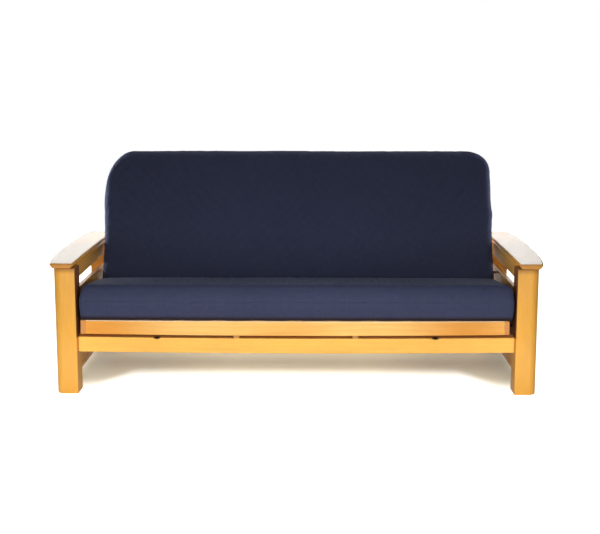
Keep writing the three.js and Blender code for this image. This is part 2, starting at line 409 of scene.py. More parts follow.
def build_board_grain() -> None:
    """Grain of a board: growth rings round a far heart, fibres along the length, and short pores."""
    heart_depth, ring_width, wander_depth = 0.05, 0.0085, 0.085
    group = open_group(
        "board_grain",
        {
            "Board": Socket.VECTOR,
            "Wood": Socket.COLOUR,
            "Late wood": Socket.COLOUR,
            "Pore": Socket.COLOUR,
            "Figure": Socket.NUMBER,
        },
        {"Color": Socket.COLOUR, "Height": Socket.NUMBER},
    )
    board, late_wood, figure = (group.given[name] for name in ("Board", "Late wood", "Figure"))
    wander = group.noise(group.scaled(board, (1.6, 5.0, 5.0)), 1.0)
    parts = group.split(board)
    across = parts["Y"] + (wander - 0.5) * wander_depth
    deep = parts["Z"] + heart_depth
    radius = group.math("SQRT", across * across + deep * deep)
    ring = group.math("FRACT", radius / ring_width) ** 2.2
    fibre = group.noise(group.scaled(board, (2.4, 210.0, 210.0)), 1.0)
    pores = group.noise(group.scaled(board, (38.0, 900.0, 900.0)), 1.0, detail=1.0)
    pore = group.ramp(pores, 0.62, 0.76) * 0.22
    ringed = group.mix(ring * figure, group.given["Wood"], late_wood)
    fibrous = group.mix(group.ramp(fibre, 0.42, 0.75) * (figure * 0.7), ringed, late_wood)
    group.feed(group.out["Color"], group.mix(pore, fibrous, group.given["Pore"]))
    group.feed(group.out["Height"], fibre * 0.5 - pore)


def build_twill_weave() -> None:
    """Fine diagonal ribs of a twill, crossed by its weft, from a map in metres."""
    group = open_group(
        "twill_weave",
        {"Map": Socket.VECTOR, "Pitch": Socket.NUMBER},
        {"Height": Socket.NUMBER, "Slub": Socket.NUMBER},
    )
    cloth, pitch = group.given["Map"], group.given["Pitch"]
    parts = group.split(cloth)
    rib = group.math("SINE", (parts["X"] + parts["Y"]) / pitch * math.tau)
    thread = group.math("SINE", parts["Y"] / pitch * (2.4 * math.tau))
    uneven = group.noise(group.scaled(cloth, (700.0, 26.0, 1.0)), 1.0)
    uneven = uneven + group.noise(group.scaled(cloth, (26.0, 700.0, 1.0)), 1.0)
    group.feed(group.out["Height"], rib * 0.6 + thread * 0.25 + uneven)
    group.feed(group.out["Slub"], group.ramp(uneven, 0.75, 1.3))


# ------------------------------ finishes


# Painted contact shade, dark on the cover's lower front edge where it meets the deck rail.
PAINTED_CONTACT_SHADE = (0.014, 0.006, 0.004, 1.0)
COAT = 0.3
# Painted shade for wood: crevices by the cover, under the arm tops, in grooves and on edges.
PAINTED_SHADE = (0.085, 0.012, 0.003, 1.0)
# Painted highlight, pale on the seat rail's upper front edge, for the reflection there.
PAINTED_EDGE_HIGHLIGHT = (1.0, 0.93, 0.76, 1.0)
WAVE_LENGTH = 0.79
WAVE_CREST = 0.46


class Surface(Shading):
    """The nodes of one material round its Principled shader."""

    def __init__(self, name: str, fixed: dict[str, object]) -> None:
        """Starts the material.

        Args:
            name: name of the material.
            fixed: plain values of the shader's inputs.
        """
        self.material = bpy.data.materials.new(name)
        self.material.use_nodes = True
        super().__init__(self.material.node_tree)
        self.shader = self.tree.nodes["Principled BSDF"].inputs
        for socket, value in fixed.items():
            self.shader[socket].default_value = value

    def vary(self, place: Signal, depth: float) -> dict[str, Signal]:
        """Places the shared variation of tone, and returns its tone and its dull patches."""
        return self.use("soft_variation", {"Place": place, "Depth": depth})

    def paint(self, colour: Signal | Place, tone: Signal, rough: Signal) -> None:
        """Colours the surface with a colour times a tone, and makes it rough."""
        toned = self.one("ShaderNodeVectorMath", 0, {0: colour, "Scale": tone}, operation="SCALE")
        self.feed(self.shader["Base Color"], toned)
        self.feed(self.shader["Roughness"], rough)

    def emboss(self, height: Signal, strength: float, depth: float) -> None:
        """Gives the surface a fine relief."""
        inputs = {"Strength": strength, "Distance": depth, "Height": height}
        self.feed(self.shader["Normal"], self.one("ShaderNodeBump", "Normal", inputs))


@dataclass(frozen=True)
class WoodFinish:
    """Lacquered hardwood, with its grain along each board's own length.

    Attributes:
        name: name of the material.
        wood: colour of the early wood.
        late_wood: colour of the late wood and the streaks.
        pore: colour of the pores.
        end_wood: colour of end grain.
        figure: strength of rings and streaks.
        gloss: roughness of the lacquer.
        cloud: depth of the slow change of tone along the board.
        wave: depth of the broad light and dark waves along the board.
        marked: share of the mark's colour on marked faces: painted shade or a painted highlight.
        mark: colour of the marked faces.
        mark_gloss: how much rougher the marked faces are.
    """

    name: str
    wood: Colour
    late_wood: Colour
    pore: Colour = (0.5, 0.2, 0.03, 1)
    end_wood: Colour = (0.42, 0.14, 0.025, 1)
    figure: float = 0.28
    gloss: float = 0.3
    cloud: float = 0.5
    wave: float = 0.0
    marked: float = 0.0
    mark: Colour = PAINTED_SHADE
    mark_gloss: float = 0.45

    def build(self) -> bpy.types.Material:
        """Makes the material from the shared groups.

        Returns:
            The finished material.
        """
        surface = Surface(self.name, {"Coat Weight": COAT, "Coat Roughness": 0.12, "IOR": 1.5})
        board = surface.attribute("board", "Vector")
        inputs = {"Wood": self.wood, "Late wood": self.late_wood, "Pore": self.pore, "Figure": self.figure}
        grain = surface.use("board_grain", {"Board": board, **inputs})
        variation = surface.vary(surface.scaled(board, (1.3, 5.0, 5.0)), self.cloud)
        rough = variation["Patch"] * 0.07 + self.gloss
        wood = surface.mix(surface.attribute("end") * 0.85, grain["Color"], self.end_wood)
        if self.wave:
            wood = self.waved(surface, wood)
        # Painted shade, or a painted highlight, on the marked faces, with less coat there.
        if self.marked:
            painted_share = surface.attribute("marked") * self.marked
            wood = surface.mix(painted_share, wood, self.mark)
            rough = rough + painted_share * self.mark_gloss
            surface.feed(surface.shader["Coat Weight"], (1.0 - painted_share) * COAT)
        surface.paint(wood, variation["Tone"], rough)
        surface.emboss(grain["Height"], 0.12, 0.4 * MM)
        return surface.material

    def waved(self, surface: Surface, wood: Signal) -> Signal:
        """Darkens a board in slow waves along its length, most near its ends.

        Args:
            surface: the material's nodes.
            wood: the board's colour.

        Returns:
            The waved colour.
        """
        x = surface.split(surface.object_place())["X"]
        swing = (1.0 - surface.math("COSINE", (x + WAVE_CREST) * (math.tau / WAVE_LENGTH))) * 0.5
        ends = surface.ramp(surface.math("ABSOLUTE", x), 0.2, 0.85)
        return surface.mix(swing * (ends * 0.65 + 0.35) * self.wave, wood, self.late_wood)


@dataclass(frozen=True)
class TwillFinish:
    """Dyed cotton twill, matt, with a faint sheen and cloudy dye.

    Attributes:
        name: name of the material.
        dye: main colour.
        worn: colour of rubbed threads.
        pitch: distance between ribs of the weave, in metres.
        fuzz: colour of the painted sheen, where the cloth turns away and its loose fibres catch light.
        fuzz_depth: share of that colour at the very edge.
    """

    name: str
    dye: Colour
    worn: Colour
    pitch: float
    fuzz: Colour = (0.125, 0.145, 0.235, 1)
    fuzz_depth: float = 0.55

    # What doesn't change over the cloth.
    SHEEN = {
        "Specular IOR Level": 0.22,
        "Sheen Weight": 0.12,
        "Sheen Roughness": 0.45,
        "Sheen Tint": (0.62, 0.7, 1.0, 1.0),
    }

    def build(self) -> bpy.types.Material:
        """Makes the material from the shared groups.

        Returns:
            The finished material.
        """
        surface = Surface(self.name, self.SHEEN)
        cut = surface.one("ShaderNodeUVMap", "UV", {}, uv_map="cut")
        weave = surface.use("twill_weave", {"Map": cut, "Pitch": self.pitch})
        variation = surface.vary(surface.object_place(), 0.3)
        rubbed = surface.attribute("seam") * 0.1
        worn = surface.math("ADD", rubbed, weave["Slub"] * 0.3, clamp=True)
        thread = surface.mix(worn, self.dye, self.worn)
        # Painted contact shade along the lower front edge, where the cover meets the deck rail.
        thread = surface.mix(surface.attribute("soil") * 0.95, thread, PAINTED_CONTACT_SHADE)
        facing = surface.one("ShaderNodeLayerWeight", "Facing", {"Blend": 0.5})
        # Painted sheen: a lighter colour rises where the cloth turns away from the camera.
        thread = surface.mix(facing**4.0 * self.fuzz_depth, thread, self.fuzz)
        surface.paint(thread, variation["Tone"], variation["Patch"] * 0.1 + 0.84)
        surface.emboss(weave["Height"], 0.5, 0.3 * MM)
        return surface.material


@dataclass(frozen=True)
class SteelFinish:
    """Dull zinc-plated steel of the pins, plates and bolt heads.

    Attributes:
        name: name of the material.
        colour: colour of the plating.
    """

    name: str
    colour: Place

    def build(self) -> bpy.types.Material:
        """Makes the material from the shared groups.

        Returns:
            The finished material.
        """
        surface = Surface(self.name, {"Metallic": 1.0})
        variation = surface.vary(surface.scaled(surface.object_place(), (9, 9, 9)), 0.5)
        surface.paint(self.colour, variation["Tone"], variation["Patch"] * 0.16 + 0.28)
        return surface.material


HONEY = WoodFinish(
    name="honey_lacquer",
    wood=(0.77, 0.385, 0.057, 1),
    late_wood=(0.68, 0.285, 0.028, 1),
    pore=(0.45, 0.17, 0.02, 1),
    end_wood=(0.59, 0.22, 0.065, 1),
    figure=0.3,
    gloss=0.34,
    marked=0.92,
)
PALE = WoodFinish(
    name="pale_lacquer",
    wood=(0.90, 0.50, 0.095, 1),
    late_wood=(0.82, 0.39, 0.05, 1),
    marked=0.92,
)
FIGURED = WoodFinish(
    name="figured_lacquer",
    wood=(0.94, 0.54, 0.135, 1),
    late_wood=(0.68, 0.24, 0.005, 1),
    figure=0.22,
    wave=0.85,
    marked=0.85,
    mark=PAINTED_EDGE_HIGHLIGHT,
)
# Painted half shade: wood darkened as if partly in shadow, for the rest blocks under the seat deck.
HALF_SHADED = WoodFinish(
    name="dusty_lacquer",
    wood=(0.58, 0.30, 0.085, 1),
    late_wood=(0.5, 0.24, 0.06, 1),
    pore=(0.35, 0.15, 0.03, 1),
    end_wood=(0.4, 0.18, 0.04, 1),
    gloss=0.45,
)
# Painted shade: wood darkened as if in shadow, for the batten in the gap under the seat deck.
SHADED = WoodFinish(
    name="dark_lacquer",
    wood=(0.31, 0.09, 0.003, 1),
    late_wood=(0.24, 0.06, 0.002, 1),
    pore=(0.2, 0.05, 0.005, 1),
    end_wood=(0.2, 0.05, 0.005, 1),
    figure=0.3,
    gloss=0.4,
)
NAVY = TwillFinish("navy_twill", (0.031, 0.036, 0.076, 1), (0.068, 0.078, 0.14, 1), 1.4 * MM)
NAVY_THREAD = TwillFinish("navy_thread", (0.034, 0.04, 0.078, 1), (0.06, 0.07, 0.12, 1), 0.6 * MM)
ZINC = SteelFinish("dark_zinc_plate", (0.07, 0.055, 0.045))


class Finishes:
    """Every finish of the sofa, built once."""

    def __init__(self) -> None:
        """Builds the shared groups, then each material from them."""
        build_soft_variation()
        build_board_grain()
        build_twill_weave()
        self.honey = Coating(HONEY.build(), Slot.HONEY)
        self.pale = Coating(PALE.build(), Slot.PALE)
        self.figured = Coating(FIGURED.build(), Slot.PALE)
        self.dusty = Coating(HALF_SHADED.build(), Slot.PALE)
        self.shaded = Coating(SHADED.build(), Slot.HONEY)
        self.navy = Coating(NAVY.build(), Slot.CLOTH)
        self.thread = Coating(NAVY_THREAD.build(), Slot.CLOTH)
        self.zinc = Coating(ZINC.build(), Slot.STEEL)


# ------------------------------ studio


RIM_SPREAD = math.radians(40)
WHITE = (1.0, 1.0, 1.0, 1.0)


@dataclass(frozen=True)
class Softbox:
    """One soft lamp.

    Attributes:
        name: name of the lamp.
        place: where it hangs.
        aim: what it points at.
        size: its width and height.
        power: its power in watts.
        mirrored: whether glossy surfaces mirror it.
        spread: angle of its beam.
    """

    name: str
    place: Place
    aim: Place
    size: tuple[float, float]
    power: float
    mirrored: bool = True
    spread: float = math.pi

    def build(self) -> None:
        """Adds the lamp to the scene."""
        lamp = bpy.data.lights.new(self.name, "AREA")
        lamp.shape = "RECTANGLE"
        lamp.size, lamp.size_y = self.size
        lamp.energy = self.power
        lamp.spread = self.spread
        made = put(self.name, lamp)
        point_along(made, self.place, Vector(self.aim) - Vector(self.place))
        made.visible_camera = False
        made.visible_glossy = self.mirrored


def point_along(made: bpy.types.Object, place: Place, direction: Vector) -> None:
    """Puts a lamp or a camera in its place and turns it.

    Args:
        made: the lamp or camera.
        place: its place.
        direction: where it points.
    """
    made.location = place
    made.rotation_mode = "QUATERNION"
    made.rotation_quaternion = direction.to_track_quat("-Z", "Y")


LAMPS = (
    Softbox("overhead_softbox", (-0.2, -0.9, 3.1), (0.0, 0.0, 0.3), (4.2, 2.0), 1.5),
    Softbox("front_softbox", (0.0, -1.58, 0.9), (0.0, -0.45, 0.4), (2.6, 0.6), 12.2),
    Softbox("low_front_softbox", (0.0, -1.35, 0.42), (0.0, -0.48, 0.36), (2.6, 0.4), 9.0, mirrored=False),
    Softbox("left_foot_softbox", (-1.12, -0.86, 0.04), (-1.03, -0.48, 0.2), (0.2, 0.2), 1.1, mirrored=False),
    Softbox("right_foot_softbox", (1.12, -0.86, 0.04), (1.03, -0.48, 0.2), (0.2, 0.2), 0.9, mirrored=False),
    Softbox("left_rim_softbox", (-2.6, 0.5, 0.75), (-0.95, 0.3, 0.85), (0.8, 0.3), 4.0, spread=RIM_SPREAD),
    Softbox("right_rim_softbox", (2.6, 0.4, 0.75), (0.95, 0.3, 0.85), (0.8, 0.3), 2.3, spread=RIM_SPREAD),
    Softbox("top_rim_softbox", (0.0, 0.49, 1.47), (0.0, 0.4, 1.0), (1.8, 0.1), 1.4, spread=RIM_SPREAD),
    Softbox("left_side_softbox", (-2.8, 0.0, 0.4), (-1.0, 0.0, 0.3), (1.4, 0.5), 8.0, mirrored=False),
    Softbox("right_side_softbox", (2.8, 0.0, 0.4), (1.0, 0.0, 0.3), (1.4, 0.5), 2.0, mirrored=False),
    Softbox("rear_softbox", (-0.5, 3.2, 1.3), (0.0, 0.0, 0.6), (5.0, 1.6), 53.0),
)


@dataclass
class Studio:
    """Camera, pale floor, white surroundings and soft lamps."""

    camera_place: Place = (0.083, -5.442, 1.447)
    camera_turn: float = math.radians(-0.745)
    camera_pitch: float = math.radians(9.997)
    lens: float = 69.7
    floor_half: float = 30.0
    floor_colour: Colour = (0.88, 0.83, 0.75, 1.0)
    floor_tint: Colour = (2.2, 2.2, 1.7, 1.0)
    # Darker camera tint towards the ends: a painted deeper shadow under the arms.
    floor_dim: Colour = (1.5, 1.5, 1.2, 1.0)
    floor_glow: float = 0.06
    # Where the floor turns white for the camera towards the sides, the front and the back; near
    # the feet the shadow reaches further forwards; and where its tint dims to a painted deeper shadow.
    side_span: Span = (1.0, 1.12)
    front_span: Span = (0.0, -0.26)
    rear_span: Span = (0.9, 1.3)
    foot_span: Span = (0.74, 0.94)
    foot_reach: float = 0.22
    dim_span: Span = (0.3, 0.8)
    ambient: float = 0.03
    gloss: float = 0.2
    lamps: tuple[Softbox, ...] = LAMPS

    def build_camera(self) -> None:
        """Places the camera in front of the sofa, a little above its back, looking down at it."""
        camera = bpy.data.cameras.new("camera")
        camera.lens = self.lens
        camera.sensor_width = 36.0
        camera.clip_end = 200.0
        made = put("camera", camera)
        level = math.cos(self.camera_pitch)
        ahead = (math.sin(self.camera_turn) * level, math.cos(self.camera_turn) * level)
        point_along(made, self.camera_place, Vector((*ahead, -math.sin(self.camera_pitch))))
        bpy.context.scene.camera = made

    def build_world(self) -> None:
        """Surrounds the sofa with plain soft light that the camera sees as white."""
        world = bpy.data.worlds.new("surroundings")
        bpy.context.scene.world = world
        world.use_nodes = True
        world.node_tree.nodes.clear()
        nodes = Shading(world.node_tree)
        path = nodes.all("ShaderNodeLightPath", {})
        seen = nodes.math("MAXIMUM", path["Is Camera Ray"], path["Is Transmission Ray"])
        strength = path["Is Glossy Ray"] * (self.gloss - self.ambient) + self.ambient
        soft = nodes.one("ShaderNodeBackground", 0, {"Color": WHITE, "Strength": strength})
        white = nodes.one("ShaderNodeBackground", 0, {"Color": WHITE, "Strength": 1.0})
        both = nodes.one("ShaderNodeMixShader", 0, {0: seen, 1: soft, 2: white})
        nodes.add("ShaderNodeOutputWorld", {"Surface": both})

    def build_floor(self) -> None:
        """Lays a pale floor that keeps the sofa's shadow and turns plain white away from it."""
        half = self.floor_half
        corners = np.array([(-half, -half, 0), (half, -half, 0), (half, half, 0), (-half, half, 0)], float)
        floor = new_mesh("floor", corners, [(0, 1, 2, 3)])
        material = bpy.data.materials.new("pale_floor")
        material.use_nodes = True
        nodes = Shading(material.node_tree)
        nodes.tree.nodes.remove(nodes.tree.nodes["Principled BSDF"])
        seen = nodes.all("ShaderNodeLightPath", {})["Is Camera Ray"]
        place = nodes.split(nodes.object_place())
        outwards = nodes.math("ABSOLUTE", place["X"])
        # Painted shadow: for the camera the floor's tint dims towards the ends, under the arms.
        tint = nodes.mix(nodes.ramp(outwards, *self.dim_span), self.floor_tint, self.floor_dim)
        colour = nodes.mix(seen, self.floor_colour, tint)
        soft = nodes.one("ShaderNodeBsdfDiffuse", 0, {"Color": colour})
        sideways = nodes.ramp(outwards, *self.side_span)
        by_feet = nodes.ramp(outwards, *self.foot_span) * self.foot_reach
        forwards = nodes.ramp(place["Y"] + by_feet, *self.front_span)
        behind = nodes.ramp(place["Y"], *self.rear_span)
        away = nodes.math("MAXIMUM", sideways, nodes.math("MAXIMUM", forwards, behind))
        lift = away * (1.0 - self.floor_glow) + self.floor_glow
        glow = nodes.one("ShaderNodeEmission", 0, {"Strength": seen * lift})
        total = nodes.one("ShaderNodeAddShader", 0, {0: soft, 1: glow})
        nodes.feed(nodes.tree.nodes["Material Output"].inputs["Surface"], total)
        floor.data.materials.append(material)

    def build(self) -> None:
        """Builds the whole studio."""
        self.build_camera()
        self.build_world()
        self.build_floor()
        for lamp in self.lamps:
            lamp.build()
        bpy.context.scene.view_settings.view_transform = "Standard"
        log.info("studio ready")


# ------------------------------ wooden pieces


SHARP = 40.0  # degrees


def slat_nodes(deck: str) -> list[str]:
    """Names of a deck's CAD slats."""
    return sorted(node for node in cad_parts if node.startswith(f"{deck}_slat_"))


def mark_faces(piece: bpy.types.Object, marks: Iterable[float]) -> None:
    """Stores how far each face of a piece is marked with painted shade or a painted highlight."""
    store_numbers(piece, "marked", "FACE", list(marks))


@dataclass(frozen=True)
class Grain:
    """How a board's own length, width and thickness lie in the sofa.

    Attributes:
        length: direction of the grain.
        width: direction across the widest face.
    """

    length: Vector
    width: Vector

    def mark(self, piece: bpy.types.Object) -> None:
        """Stores each vertex's place on its board, moved by an amount that differs by board.

        Args:
            piece: the board.
        """
        length = self.length.normalized()
        width = self.width.normalized()
        turn = np.array([length, width, length.cross(width)])
        lot = sum((k + 3) * ord(letter) for k, letter in enumerate(piece.name))
        shift = np.array([(lot % 89) * 0.37, (lot % 17 - 8) * 0.021, (lot % 7) * 0.013])
        store_vectors(piece, "board", vertices_of(piece) @ turn.T + shift)
        facing = read_rows(piece.data.polygons, "normal") @ np.array(length)
        store_numbers(piece, "end", "FACE", np.abs(facing) ** 3)


ALONG_X = Grain(Vector((1, 0, 0)), Vector((0, 0, 1)))
ALONG_Y = Grain(Vector((0, 1, 0)), Vector((0, 0, 1)))
FLAT_ALONG_Y = Grain(Vector((0, 1, 0)), Vector((1, 0, 0)))
UPRIGHT = Grain(Vector((0, 0, 1)), Vector((1, 0, 0)))


@dataclass(frozen=True)
class Hang:
    """How a long board hangs down between its ends under the load.

    Attributes:
        depth: how far its middle hangs down.
        span: half of the free length.
        belly: how much further its lower edge hangs than its upper one.
        cells: how many lengths it's cut into.
    """

    depth: float
    span: float
    belly: float = 0.0
    cells: int = 18

    def drop(self, x: float) -> float:
        """How far a place hangs down."""
        return self.depth * max(0.0, 1 - (x / self.span) ** 2)

    def bend(self, shape: bmesh.types.BMesh) -> None:
        """Cuts a board across and lowers its vertices.

        Args:
            shape: the board.
        """
        low = min(vert.co.x for vert in shape.verts)
        high = max(vert.co.x for vert in shape.verts)
        bottom = min(vert.co.z for vert in shape.verts)
        height = max(vert.co.z for vert in shape.verts) - bottom
        for k in range(1, self.cells):
            bmesh.ops.bisect_plane(
                shape,
                geom=shape.verts[:] + shape.edges[:] + shape.faces[:],
                plane_co=(low + (high - low) * k / self.cells, 0, 0),
                plane_no=(1, 0, 0),
            )
        for vert in shape.verts:
            depth = (vert.co.z - bottom) / height
            vert.co.z -= self.drop(vert.co.x) * (1 + self.belly * (0.5 - depth))


def eased_copy(
    node: str,
    ease: float,
    grain: Grain | None = None,
    hang: Hang | None = None,
    segments: int = 3,
    style: str = "eased",
) -> bpy.types.Object:
    """Copies a CAD board or metal part and eases all its edges.

    Args:
        node: name of the CAD node.
        ease: width of the rounding.
        grain: how the grain lies, for wood.
        hang: how the board hangs down, if it does.
        segments: steps of the rounding.
        style: first word of the piece's name.

    Returns:
        The new piece, in the node's place.
    """
    shape = bmesh.new()
    shape.from_mesh(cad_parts[node].data)
    bmesh.ops.remove_doubles(shape, verts=shape.verts, dist=1e-6)
    bmesh.ops.dissolve_limit(shape, angle_limit=math.radians(1), verts=shape.verts, edges=shape.edges)
    sharp = [edge for edge in shape.edges if edge.calc_face_angle(0) > math.radians(SHARP)]
    bmesh.ops.bevel(
        shape, geom=sharp, offset=ease, offset_type="OFFSET", segments=segments, profile=0.5, affect="EDGES"
    )
    if hang:
        hang.bend(shape)
    name = f"{style}_{node}"
    mesh = bpy.data.meshes.new(name)
    shape.to_mesh(mesh)
    shape.free()
    piece = put(name, mesh)
    soften_faces(piece)
    if grain:
        grain.mark(piece)
    return piece


def soften_faces(piece: bpy.types.Object, angle: float = SHARP) -> None:
    """Shades a wooden or metal piece smooth except across its sharper edges.

    Args:
        piece: the piece.
        angle: how sharp such an edge is, in degrees.
    """
    shade_smooth(piece)
    piece.data.set_sharp_from_angle(angle=math.radians(angle))
    strengthen = piece.modifiers.new("even_normals", "WEIGHTED_NORMAL")
    strengthen.keep_sharp = True
    apply_modifiers(piece)


def lofted(name: str, rings: Sequence[np.ndarray]) -> bpy.types.Object:
    """Joins rings of points, each the same length, into a closed body.

    Args:
        name: name of the piece.
        rings: the rings, in order; each turns anticlockwise seen from the last ring's side.

    Returns:
        The new piece.
    """
    count = len(rings[0])
    faces: list[Sequence[int]] = []
    for low in range(0, (len(rings) - 1) * count, count):
        high = low + count
        for k in range(count):
            after = (k + 1) % count
            faces.append((low + k, low + after, high + after, high + k))
    faces.append(tuple(reversed(range(count))))
    faces.append(tuple((len(rings) - 1) * count + k for k in range(count)))
    piece = new_mesh(name, np.concatenate(rings), faces)
    turn_outwards(piece)
    return piece


def inset_ring(outline: np.ndarray, inset: float, height: float) -> np.ndarray:
    """Moves a closed outline inwards, with mitred corners, and lays it at a height.

    Args:
        outline: its X and Y, anticlockwise.
        inset: how far it moves inwards.
        height: its Z.

    Returns:
        The ring's places.
    """
    before = outline - np.roll(outline, 1, axis=0)
    after = np.roll(outline, -1, axis=0) - outline
    before /= np.linalg.norm(before, axis=1, keepdims=True)
    after /= np.linalg.norm(after, axis=1, keepdims=True)
    inward = np.stack([-before[:, 1] - after[:, 1], before[:, 0] + after[:, 0]], axis=1)
    inward /= np.linalg.norm(inward, axis=1, keepdims=True)
    first = np.stack([-before[:, 1], before[:, 0]], axis=1)
    stretch = 1 / np.maximum((inward * first).sum(axis=1, keepdims=True), 0.3)
    return np.hstack([outline + inward * inset * stretch, np.full((len(outline), 1), height)])


@dataclass
class Arm:
    """One arm: a bowed top on two posts, with four boards between them.

    Attributes:
        side: which end of the sofa it stands at.
        finishes: the finishes.
        bow: how far the middle of the outer edge stands out past its ends.
        corner: radius of the top's outer corners.
        post_round: radius of each post's outer corner.
        post_ease: radius of each post's other corners.
        slat_ease: radius of the other boards' edges.
        shade: share of the painted shadow on the posts right under the top.
        shade_reach: how far down the posts it reaches.
        edge_shade: share of the painted shade on the top's edges.
    """

    side: Side
    finishes: Finishes
    bow: float = 31 * MM
    corner: float = 20 * MM
    post_round: float = 34 * MM
    post_ease: float = 4 * MM
    slat_ease: float = 3 * MM
    shade: float = 0.7
    shade_reach: float = 26 * MM
    edge_shade: float = 0.14

    # Moulded edge of the arm top, from its upper face down: how far each line lies in, and how low.
    EDGE = (
        (6.6, 0.0), (4.0, 0.5), (1.9, 1.9), (0.5, 4.0), (0.0, 6.6), (0.5, 9.2), (1.9, 11.3),
        (3.6, 12.5), (4.1, 13.2), (4.6, 15.6), (6.0, 18.4), (8.2, 20.6), (10.4, 21.8), (10.6, 24.0),
    )
    # Beaded profile of the lowest board, from its lower edge up: how far in, and how high.
    BEAD = (
        (7.0, -12.0), (3.2, -11.0), (0.9, -8.0), (0.0, -3.0), (0.0, 5.0), (0.9, 10.4), (3.6, 12.4),
        (3.6, 15.8), (0.5, 16.8), (0.0, 18.2), (0.0, 82.0), (0.9, 84.1), (3.0, 85.0),
    )
    # Heights of its groove, darkened with painted shade.
    GROOVE = (10, 17)
    # Eased lower end of a post: how far in and how high. Then how far its last lines lie under the top.
    FOOT = ((2.5, 0.0), (0.7, 0.8), (0.0, 2.6))
    # Lines under the top that step the painted shadow on a post.
    SHADE_LINES = (26, 18, 13, 9, 5, 0)

    def node(self, part: str) -> str:
        """Name of one of this arm's CAD nodes."""
        return f"{part}_{self.side.label}"

    def top_outline(self) -> np.ndarray:
        """Outline of the arm top seen from above, anticlockwise for either side.

        Returns:
            Its X and Y.
        """
        low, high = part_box(self.node("arm_top"))
        half = (high.y - low.y) / 2
        inner = min(abs(low.x), abs(high.x))
        tip = max(abs(low.x), abs(high.x)) - self.bow

        def bowed(y: float) -> float:
            """Distance of the outer edge from the middle of the sofa."""
            return tip + self.bow * (1 - abs(y / half) ** 3)

        points = [(inner, -half)]
        turn = 10
        steps = 48
        reach = half - self.corner
        centre = bowed(reach) - self.corner
        for end in (-1, 1):
            for k in range(turn + 1):
                share = k / turn if end < 0 else 1 - k / turn
                angle = share * math.pi / 2
                x = centre + self.corner * math.sin(angle)
                points.append((x, end * (reach + self.corner * math.cos(angle))))
            if end < 0:
                points += [(bowed(y), y) for y in np.linspace(-reach, reach, steps + 1)[1:-1]]
        points.append((inner, half))
        outline = np.array(points)
        outline[:, 0] *= self.side.value
        return outline if self.side is Side.RIGHT else outline[::-1]

    def build_top(self) -> None:
        """Builds the arm top with its moulded edge."""
        node = self.node("arm_top")
        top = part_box(node)[1].z
        outline = self.top_outline()
        rings = [inset_ring(outline, inset * MM, top - drop * MM) for inset, drop in self.EDGE]
        piece = lofted(f"moulded_{node}", rings[::-1])
        soften_faces(piece, 55)
        FLAT_ALONG_Y.mark(piece)
        # Painted shade on the top's moulded edges and underside.
        mark_faces(piece, [self.edge_shade * (face.normal.z < 0.6) for face in piece.data.polygons])
        hand_over(piece, self.finishes.pale, [node])

    def build_post(self, end: str) -> None:
        """Builds one post, strongly rounded on its outer corner.

        Args:
            end: "front" or "rear".
        """
        node = self.node(f"post_{end}")
        low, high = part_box(node)
        away_y = -1 if end == "front" else 1
        centre = (low + high) / 2
        half_x, half_y = (high.x - low.x) / 2, (high.y - low.y) / 2
        outline = []
        for k, (sx, sy) in enumerate(((-1, -1), (1, -1), (1, 1), (-1, 1))):
            outer = sx == self.side.value and sy == away_y
            radius = self.post_round if outer else self.post_ease
            steps = 14 if outer else 5
            for angle in np.linspace(math.pi * (1 + k / 2), math.pi * (1.5 + k / 2), steps):
                x = centre.x + sx * (half_x - radius) + radius * math.cos(angle)
                y = centre.y + sy * (half_y - radius) + radius * math.sin(angle)
                outline.append((x, y))
        rail_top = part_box("front_rail")[1].z
        levels = [(inset * MM, height * MM) for inset, height in self.FOOT]
        levels += [(0.0, rail_top)] + [(0.0, high.z - under * MM) for under in self.SHADE_LINES]
        rings = [inset_ring(np.array(outline), inset, height) for inset, height in levels]
        piece = lofted(f"rounded_{node}", rings)
        soften_faces(piece, 50)
        UPRIGHT.mark(piece)
        # Painted shade on the inner face above the rail, and a painted shadow just under the top.
        self.mark_crevice(piece, rail_top, roof=high.z)
        hand_over(piece, self.finishes.honey, [node])

    def mark_crevice(
        self, piece: bpy.types.Object, low: float = 0.0, high: float = math.inf, roof: float = math.inf
    ) -> None:
        """Marks painted shade on a board's inner face between two heights, and on all of it near a roof.

        Args:
            piece: the board.
            low: height from which the face lies in the crevice.
            high: height up to which it does.
            roof: height of what lies over the board.
        """
        marks = []
        for face in piece.data.polygons:
            inward = -self.side.value * face.normal.x
            shaded_inside = max(0.0, inward) ** 2 if low < face.center.z < high else 0.0
            near = max(0.0, 1 - (roof - face.center.z) / self.shade_reach)
            marks.append(max(shaded_inside, self.shade * near**1.2))
        mark_faces(piece, marks)

    def build_stretcher(self) -> None:
        """Builds the lowest side board, with a bead along its lower edge on both faces."""
        node = self.node("stretcher")
        low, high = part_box(node)
        middle = (low.x + high.x) / 2
        half = (high.x - low.x) / 2
        face = [(half - inset * MM, low.z + height * MM) for inset, height in self.BEAD]
        ring = [(middle + x, z) for x, z in face] + [(middle - x, z) for x, z in reversed(face)]
        rings = [np.array([(x, y, z) for x, z in ring]) for y in (high.y, low.y)]
        piece = lofted(f"beaded_{node}", rings)
        soften_faces(piece, 50)
        ALONG_Y.mark(piece)
        # Painted shade in the groove of the inner face.
        self.mark_crevice(piece, *(low.z + height * MM for height in self.GROOVE))
        hand_over(piece, self.finishes.honey, [node])

    def build(self) -> None:
        """Builds every piece of the arm."""
        self.build_top()
        for end in ("front", "rear"):
            self.build_post(end)
        self.build_stretcher()
        for part in ("apron", "upper_slat", "lower_slat"):
            node = self.node(part)
            piece = eased_copy(node, self.slat_ease, ALONG_Y)
            # Painted shade on the inner face of the lowest slat.
            if part == "lower_slat":
                self.mark_crevice(piece)
            hand_over(piece, self.finishes.honey, [node])


